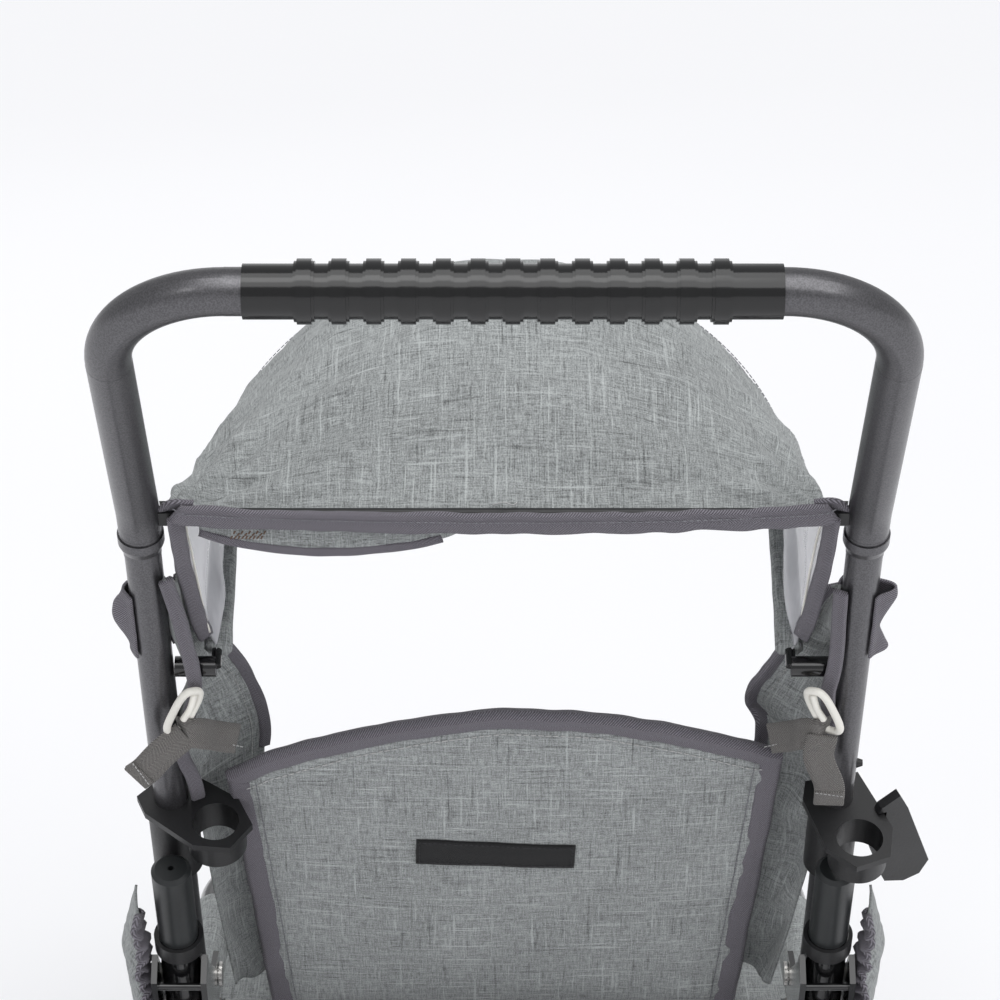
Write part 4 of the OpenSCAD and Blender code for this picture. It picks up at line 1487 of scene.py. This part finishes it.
class STROLLER_OT_harness(bpy.types.Operator):
    """Lap belt and crotch strap in webbing"""

    bl_idname = "stroller.harness"
    bl_label = "Harness"

    def execute(self, context):
        tape = webbing()
        lo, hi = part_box("lap_belt")
        y, z = (lo.y + hi.y) / 2, (lo.z + hi.z) / 2
        for s in (-1, 1):
            side = "l" if s > 0 else "r"
            outer = hi.x
            path = [
                (s * 0.013, y, z),
                (s * 0.04, y, z + 0.0016),
                (s * 0.07, y + 0.002, z + 0.0008),
                (s * (outer - 0.012), y + 0.006, z),
                (s * outer, y + 0.008, z - 0.001),
            ]
            belt = band(
                f"lap_belt_{side}",
                smooth_path(path, 70),
                (0, 1, 0),
                0.02,
                0.0016,
                tape,
                ripple=0.0006,
                seed=s,
            )
            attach(belt, "frame")
            tail = band(
                f"lap_belt_tail_{side}",
                smooth_path(
                    [
                        (s * 0.016, y, z + 0.002),
                        (s * 0.03, y + 0.001, z + 0.0034),
                        (s * 0.05, y + 0.002, z + 0.0042),
                    ],
                    30,
                ),
                (0.04, 1, 0),
                0.02,
                0.0014,
                tape,
                ripple=0.0004,
            )
            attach(tail, "frame")
            box_rows = []
            for a, b in (((outer - 0.014), (outer - 0.004)),):
                box_rows.append([(s * a, y - 0.007, z + 0.0012), (s * b, y + 0.014, z + 0.0008)])
                box_rows.append([(s * a, y + 0.012, z + 0.0012), (s * b, y - 0.004, z + 0.0008)])
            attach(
                stitches(f"lap_belt_stitches_{side}", box_rows, pale_thread(), 0.0022, 0.0016),
                "frame",
            )
        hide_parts("lap_belt")
        lo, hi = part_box("crotch_strap")
        path = [
            (0, lo.y, lo.z - 0.001),
            (0.0005, lo.y + 0.02, lo.z + 0.0014),
            (-0.0004, hi.y - 0.018, lo.z + 0.0016),
            (0, hi.y + 0.001, lo.z + 0.0006),
        ]
        strap = band(
            "crotch_webbing", smooth_path(path, 50), (1, 0, 0), 0.02, 0.0016, tape, ripple=0.0005
        )
        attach(strap, "frame")
        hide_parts("crotch_strap")
        return {"FINISHED"}


# ---- wings, straps, rings and wraps ----


# Each wing's two long edges, as (across, behind the tube's axis, up the tube) in mm: the
# one beside the tube and the one next to the seat. They differ a little from side to side.
WING_OUTER = {
    "l": ((155, 7, 166), (150, 8, 136), (146, 10, 98), (150, 8, 74), (157, 5, 42), (152, 2, 10),
          (150, -4, -60), (143, -6, -168)),
    "r": ((155, 7, 158), (156, 9, 114), (154, 10, 92), (156, 7, 70), (161, 2, 32), (160, -2, -10),
          (155, -3, -64), (143, -6, -168)),
}
WING_INNER = {
    "l": ((150, -4, 158), (142, -16, 112), (134, -34, 72), (127, -40, 46), (120, -37, 17), (121, -32, -12),
          (120, -28, -88), (121, -24, -168)),
    "r": ((152, -4, 150), (140, -20, 95), (125, -31, 46), (126, -30, 33), (130, -22, 20),
          (126, -24, -86), (124, -24, -168)),
}


class STROLLER_OT_wings(bpy.types.Operator):
    """Side wings between the seat back and the tubes, with wide bindings"""

    bl_idname = "stroller.wings"
    bl_label = "Side wings"

    def execute(self, context):
        cloth, tape = marl_cloth(), twill_tape()
        for s in (-1, 1):
            side = "l" if s > 0 else "r"
            n, m = 120, 34
            outer = smooth_path(WING_OUTER[side], n + 1)
            inner = smooth_path(WING_INNER[side], n + 1)
            grid = []
            for i in range(n + 1):
                row = []
                for j in range(m + 1):
                    v = j / m
                    x, b, h = outer[i] + (inner[i] - outer[i]) * v
                    full = math.sin(math.pi * v) ** 0.8
                    ends = min(1.0, 6 * i / n + 0.2)
                    x += 9 * full * ends * (0.4 + 0.6 * min(1, 3 - 3 * i / n))
                    fold = 2.6 * math.sin(h / 13 + 5 * v + 2 * s) * full
                    fold += 4.2 * rough(h, v * 34, s * 9, 26, 2 + s) * full
                    fold += 2.0 * (crease(h * 0.7 + v * 30, v * 40, s, 22, 6) - 0.4) * full
                    row.append(post(s * (x + 0.7 * fold), b - 0.6 * fold * full, h + 0.4 * fold))
                grid.append(row)
            grid = np.array(grid)
            wing = cloth_sheet(f"wing_{side}", grid, cloth, 0.0013)
            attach(wing, "handle")
            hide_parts(f"wing_{side}")
            upto = 64 if s > 0 else 62
            front = smooth_path(grid[:upto:4, -1], 150)
            edge = band(
                f"wing_front_tape_{side}",
                front,
                (0.75, 0.6, 0.25),
                0.0068 if s > 0 else 0.0125,
                0.0032,
                tape,
                ripple=0.0006,
                seed=6 + s,
            )
            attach(edge, "handle")
            near = smooth_path(grid[:upto:4, 0], 150)
            hem_edge = band(
                f"wing_rear_tape_{side}",
                near,
                (0.85 * s, 0.5, 0.1),
                0.0075,
                0.003,
                tape,
                ripple=0.0007,
                seed=9 + s,
            )
            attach(hem_edge, "handle")
            seam = grid[3 : upto - 2, -4] + np.array([-s * 0.0002, 0.0012, 0])
            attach(stitches(f"wing_stitches_{side}", [seam], pale_thread()), "handle")
        return {"FINISHED"}


class STROLLER_OT_straps(bpy.types.Operator):
    """White rings, their webbing straps and the tape wraps round the tubes"""

    bl_idname = "stroller.straps"
    bl_label = "Straps and rings"

    def execute(self, context):
        tape, web = twill_tape(), webbing()
        for s in (-1, 1):
            side = "l" if s > 0 else "r"
            # oblong ring, leaning in towards the seat
            lean_in = math.radians(24)
            cx, cb, cs = HALF - 13, 16, 84

            def on_ring(a, b, lift=0.0):
                x = a * math.cos(lean_in) - b * math.sin(lean_in)
                up = a * math.sin(lean_in) + b * math.cos(lean_in)
                return post(s * (cx + x * 0.9), cb + lift + 0.5 * a, cs + up)

            loop = []
            for t in np.linspace(0, 2 * math.pi, 90, endpoint=False):
                c, d = math.cos(t), math.sin(t)
                k = 1 / (abs(c) ** 3.2 + abs(d) ** 3.2) ** (1 / 3.2)
                loop.append(on_ring(5.4 * c * k, 16 * d * k))
            ring = wire(f"ring_{side}", loop, 0.00195, white_moulding(), closed=True, sides=14)
            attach(ring, "handle")
            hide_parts(f"clip_{side}")
            tongue = wire(
                f"ring_tongue_{side}",
                smooth_path(
                    [on_ring(-1.0, 14.5, 1), on_ring(-2.2, 5, 2.6), on_ring(-1.6, -4, 2.2)], 30
                ),
                0.0017,
                white_moulding(),
                sides=12,
            )
            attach(tongue, "handle")

            # webbing from the seat back's corner, through the ring and back down
            corner = back_half(56) - 7
            path = [
                post(s * corner, 4.5, 50),
                post(s * (corner + 8), 9, 57),
                post(s * (cx - 9), cb - 1, 66),
                post(s * (cx - 2), cb + 2, 71),
                post(s * (cx + 3), cb - 2, 69),
            ]
            strap = band(
                f"strap_web_{side}",
                smooth_path(path, 60),
                (0.25 * s, 0.1, 0.95),
                0.015,
                0.0015,
                web,
                ripple=0.0006,
                seed=s,
            )
            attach(strap, "handle")
            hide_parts(f"strap_{side}")
            if s > 0:
                tail = [
                    post(cx, cb + 3, 70),
                    post(cx + 10, cb + 7, 63),
                    post(cx + 19, cb + 9, 52),
                    post(cx + 25, cb + 9, 45),
                ]
                way = (0.55, 0, 0.83)
            else:
                tail = [
                    post(-cx, cb + 3, 70),
                    post(-cx + 1, cb + 7, 58),
                    post(-cx - 5, cb + 9, 40),
                    post(-cx - 6, cb + 8, 24),
                ]
                way = (1, 0, 0.15)
            end = band(
                f"strap_tail_{side}",
                smooth_path(tail, 50),
                way,
                0.0148,
                0.0015,
                web,
                ripple=0.0008,
                seed=s + 3,
            )
            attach(end, "handle")
            fold = [tail[-1], tuple(np.array(tail[-1]) * 0.35 + np.array(tail[-2]) * 0.65)]
            hem_fold = band(
                f"strap_fold_{side}",
                np.linspace(np.array(fold[0]), np.array(fold[1]), 12) + (0, 0.0018, 0.0006),
                way,
                0.0146,
                0.0016,
                web,
            )
            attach(hem_fold, "handle")
            bar = [np.array(tail[-2]) * 0.5 + np.array(tail[-1]) * 0.5 + (0, 0.0029, 0.001)]
            bar_way = unit(way) * 0.006
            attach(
                stitches(
                    f"strap_stitches_{side}",
                    [[bar[0] - bar_way, bar[0] + bar_way]],
                    pale_thread(),
                    0.0018,
                    0.0013,
                ),
                "handle",
            )
            lower = [post(s * (corner - 2), 7.2, 47), post(s * (corner + 10), 10.2, 55)]
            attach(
                stitches(
                    f"strap_bar_{side}",
                    [np.linspace(lower[0], lower[1], 12)],
                    pale_thread(),
                    0.002,
                    0.0014,
                ),
                "handle",
            )

            # tape wrap: a loose sleeve round the tube, its seam flap outside
            rows = []
            for i in range(41):
                h = mix(112, 154, i / 40)
                row = []
                for j in range(49):
                    # open on the pusher's side: round the front and curled outside
                    a = math.pi * mix(0.74, 1.9, j / 48)
                    curl = math.exp(-((a - 1.02 * math.pi) ** 2) / 0.12)
                    r = LOW_R + 1.3 + 5.5 * curl * (0.75 + 0.6 * math.sin(h / 7 + s))
                    r += 1.2 * max(0, rough(h, 9 * math.cos(a), 9 * math.sin(a), 11, 3 + s))
                    row.append(
                        post(
                            s * (HALF - r * math.cos(a)),
                            r * math.sin(a),
                            h + 2.2 * rough(a * 9, h, 0, 12),
                        )
                    )
                rows.append(row)
            wrap = cloth_sheet(f"wrap_cloth_{side}", rows, tape, 0.0012)
            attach(wrap, "handle")
            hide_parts(f"wrap_{side}")
            tops = [rows[k][5] for k in range(3, 38)]
            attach(stitches(f"wrap_stitches_{side}", [tops], grey_thread()), "handle")
        return {"FINISHED"}


# ---- basket and side panels ----


class STROLLER_OT_basket(bpy.types.Operator):
    """Sagging storage basket with a taped rim and hanging loops"""

    bl_idname = "stroller.basket"
    bl_label = "Basket"

    def execute(self, context):
        cloth, tape = marl_cloth(), twill_tape()
        lo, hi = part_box("basket")
        lo, hi = lo * 1000, hi * 1000
        deep = hi.z - lo.z
        n, m = 60, 90
        grid = []
        for i in range(n + 1):
            u = 0.015 + 0.97 * i / n
            row = []
            for j in range(m + 1):
                v = j / m
                a = math.pi * v
                fall = math.sin(math.pi * u) ** 0.4 * max(0, math.sin(a)) ** 0.45
                x = -(hi.x - 1.5) * math.cos(a)
                y = mix(lo.y + 1, hi.y - 1, u)
                z = hi.z - deep * fall
                sag = min(1.0, fall * 1.6)
                z += 1.6 * sag * rough(x, y, z, 32, 4) + 0.9 * sag * crease(x * 0.5, y, z, 26, 2)
                x += 2.2 * sag * rough(z, y, x, 24, 1.3)
                row.append((x / 1000, y / 1000, max(z, lo.z - 1) / 1000))
            grid.append(row)
        grid = np.array(grid)
        basket = cloth_sheet("basket", grid, cloth, 0.0013)
        up = (0, 0, 1)
        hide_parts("basket")
        top = hi.z / 1000
        rim = []
        for a in np.linspace(0, 2 * math.pi, 220, endpoint=False):
            c, d = math.cos(a), math.sin(a)
            k = 1 / (abs(c) ** 9 + abs(d) ** 9) ** (1 / 9)
            rim.append((
                (hi.x - 1) * c * k / 1000,
                ((lo.y + hi.y) / 2 + (hi.y - lo.y) / 2 * d * k) / 1000,
                top + 0.0008 * math.sin(5 * a),
            ))
        edge = band("basket_rim_tape", rim, up, 0.011, 0.0034, tape, closed=True, ripple=0.0008)
        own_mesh(basket)
        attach(basket, "frame")
        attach(edge, "frame")
        rail = top + 0.014
        for s in (-1, 1):
            for y in (lo.y + 18, hi.y - 56):
                side = "l" if s > 0 else "r"
                outer = (HALF - FRAME_R - 1.5) / 1000
                path = [
                    (s * hi.x / 1000, y / 1000, top - 0.004),
                    (s * (hi.x + 4) / 1000, y / 1000, top + 0.008),
                    (s * outer, y / 1000, rail - 0.006),
                    (s * outer, y / 1000, rail + 0.008),
                ]
                loop = band(
                    f"basket_loop_{side}_{int(y) % 97}",
                    smooth_path(path, 40),
                    (0, 1, 0),
                    0.016,
                    0.0016,
                    webbing(),
                    ripple=0.0004,
                )
                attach(loop, "frame")
        return {"FINISHED"}


class STROLLER_OT_skirts(bpy.types.Operator):
    """Elastic-gathered side panels outside the posts"""

    bl_idname = "stroller.skirts"
    bl_label = "Side panels"

    def execute(self, context):
        cloth, tape = marl_cloth(), twill_tape()
        for s in (-1, 1):
            side = "l" if s > 0 else "r"
            n, m = 120, 44
            grid = []
            for i in range(n + 1):
                u = i / n
                row = []
                h = -54 - 108 * u
                for j in range(m + 1):
                    v = j / m
                    swell = 15 * min(1, 0.15 + 1.5 * u) * math.sin(math.pi / 2 * v) ** 0.8
                    gather = (
                        1.9 * math.sin(
                            u * 74 + 1.5 * rough(h, 0, 0, 20)
                        ) * math.exp(-v * 4) + 1.3 * rough(h, v * 30, s, 11, 3) * (1 - 0.5 * v)
                    )
                    out = FRAME_R + 8 + swell + gather * (0.3 + 0.7 * min(1, u * 3))
                    b = 32 - (18 + 24 * u) * v + 1.4 * math.sin(u * 74) * math.exp(-v * 5)
                    row.append(post(s * (HALF + out), b, h))
                grid.append(row)
            grid = np.array(grid)
            panel = cloth_sheet(f"side_panel_{side}", grid, cloth, 0.0013)
            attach(panel, "frame")
            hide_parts(f"skirt_{side}")
            edge = band(
                f"side_panel_tape_{side}",
                smooth_path(grid[::2, 0], 180),
                (s * 0.25, 0.9, -0.3),
                0.011,
                0.003,
                tape,
                ripple=0.002,
                seed=s * 5,
            )
            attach(edge, "frame")
        return {"FINISHED"}


# ---- the list of operators ----

MAKERS = (
    STROLLER_OT_stage,
    STROLLER_OT_finishes,
    STROLLER_OT_hood,
    STROLLER_OT_seat_back,
    STROLLER_OT_cushion,
    STROLLER_OT_harness,
    STROLLER_OT_wings,
    STROLLER_OT_straps,
    STROLLER_OT_basket,
    STROLLER_OT_skirts,
)


class STROLLER_PT_makers(bpy.types.Panel):
    """The stroller's settings and its makers"""

    bl_label = "Stroller"
    bl_idname = "STROLLER_PT_makers"
    bl_space_type = "VIEW_3D"
    bl_region_type = "UI"
    bl_category = "Stroller"

    def draw(self, context):
        for group in ("stroller_stage", "stroller_frame", "stroller_cloth"):
            settings = getattr(context.scene, group)
            box = self.layout.box()
            for name in settings.__annotations__:
                box.prop(settings, name)
        for maker in MAKERS:
            self.layout.operator(maker.bl_idname)


SETTINGS = (
    ("stroller_stage", StrollerStage),
    ("stroller_frame", StrollerFrame),
    ("stroller_cloth", StrollerCloth),
)


def register():
    for name, group in SETTINGS:
        bpy.utils.register_class(group)
        setattr(bpy.types.Scene, name, PointerProperty(type=group))
    for maker in MAKERS:
        bpy.utils.register_class(maker)
    bpy.utils.register_class(STROLLER_PT_makers)


def unregister():
    bpy.utils.unregister_class(STROLLER_PT_makers)
    for maker in reversed(MAKERS):
        bpy.utils.unregister_class(maker)
    for name, group in reversed(SETTINGS):
        delattr(bpy.types.Scene, name)
        bpy.utils.unregister_class(group)


def main():
    register()
    bpy.ops.stroller.stage()
    bpy.ops.stroller.finishes()
    bpy.ops.stroller.hood()
    bpy.ops.stroller.seat_back()
    bpy.ops.stroller.cushion()
    bpy.ops.stroller.harness()
    bpy.ops.stroller.wings()
    bpy.ops.stroller.straps()
    bpy.ops.stroller.basket()
    bpy.ops.stroller.skirts()


if __name__ == "__main__":
    main()
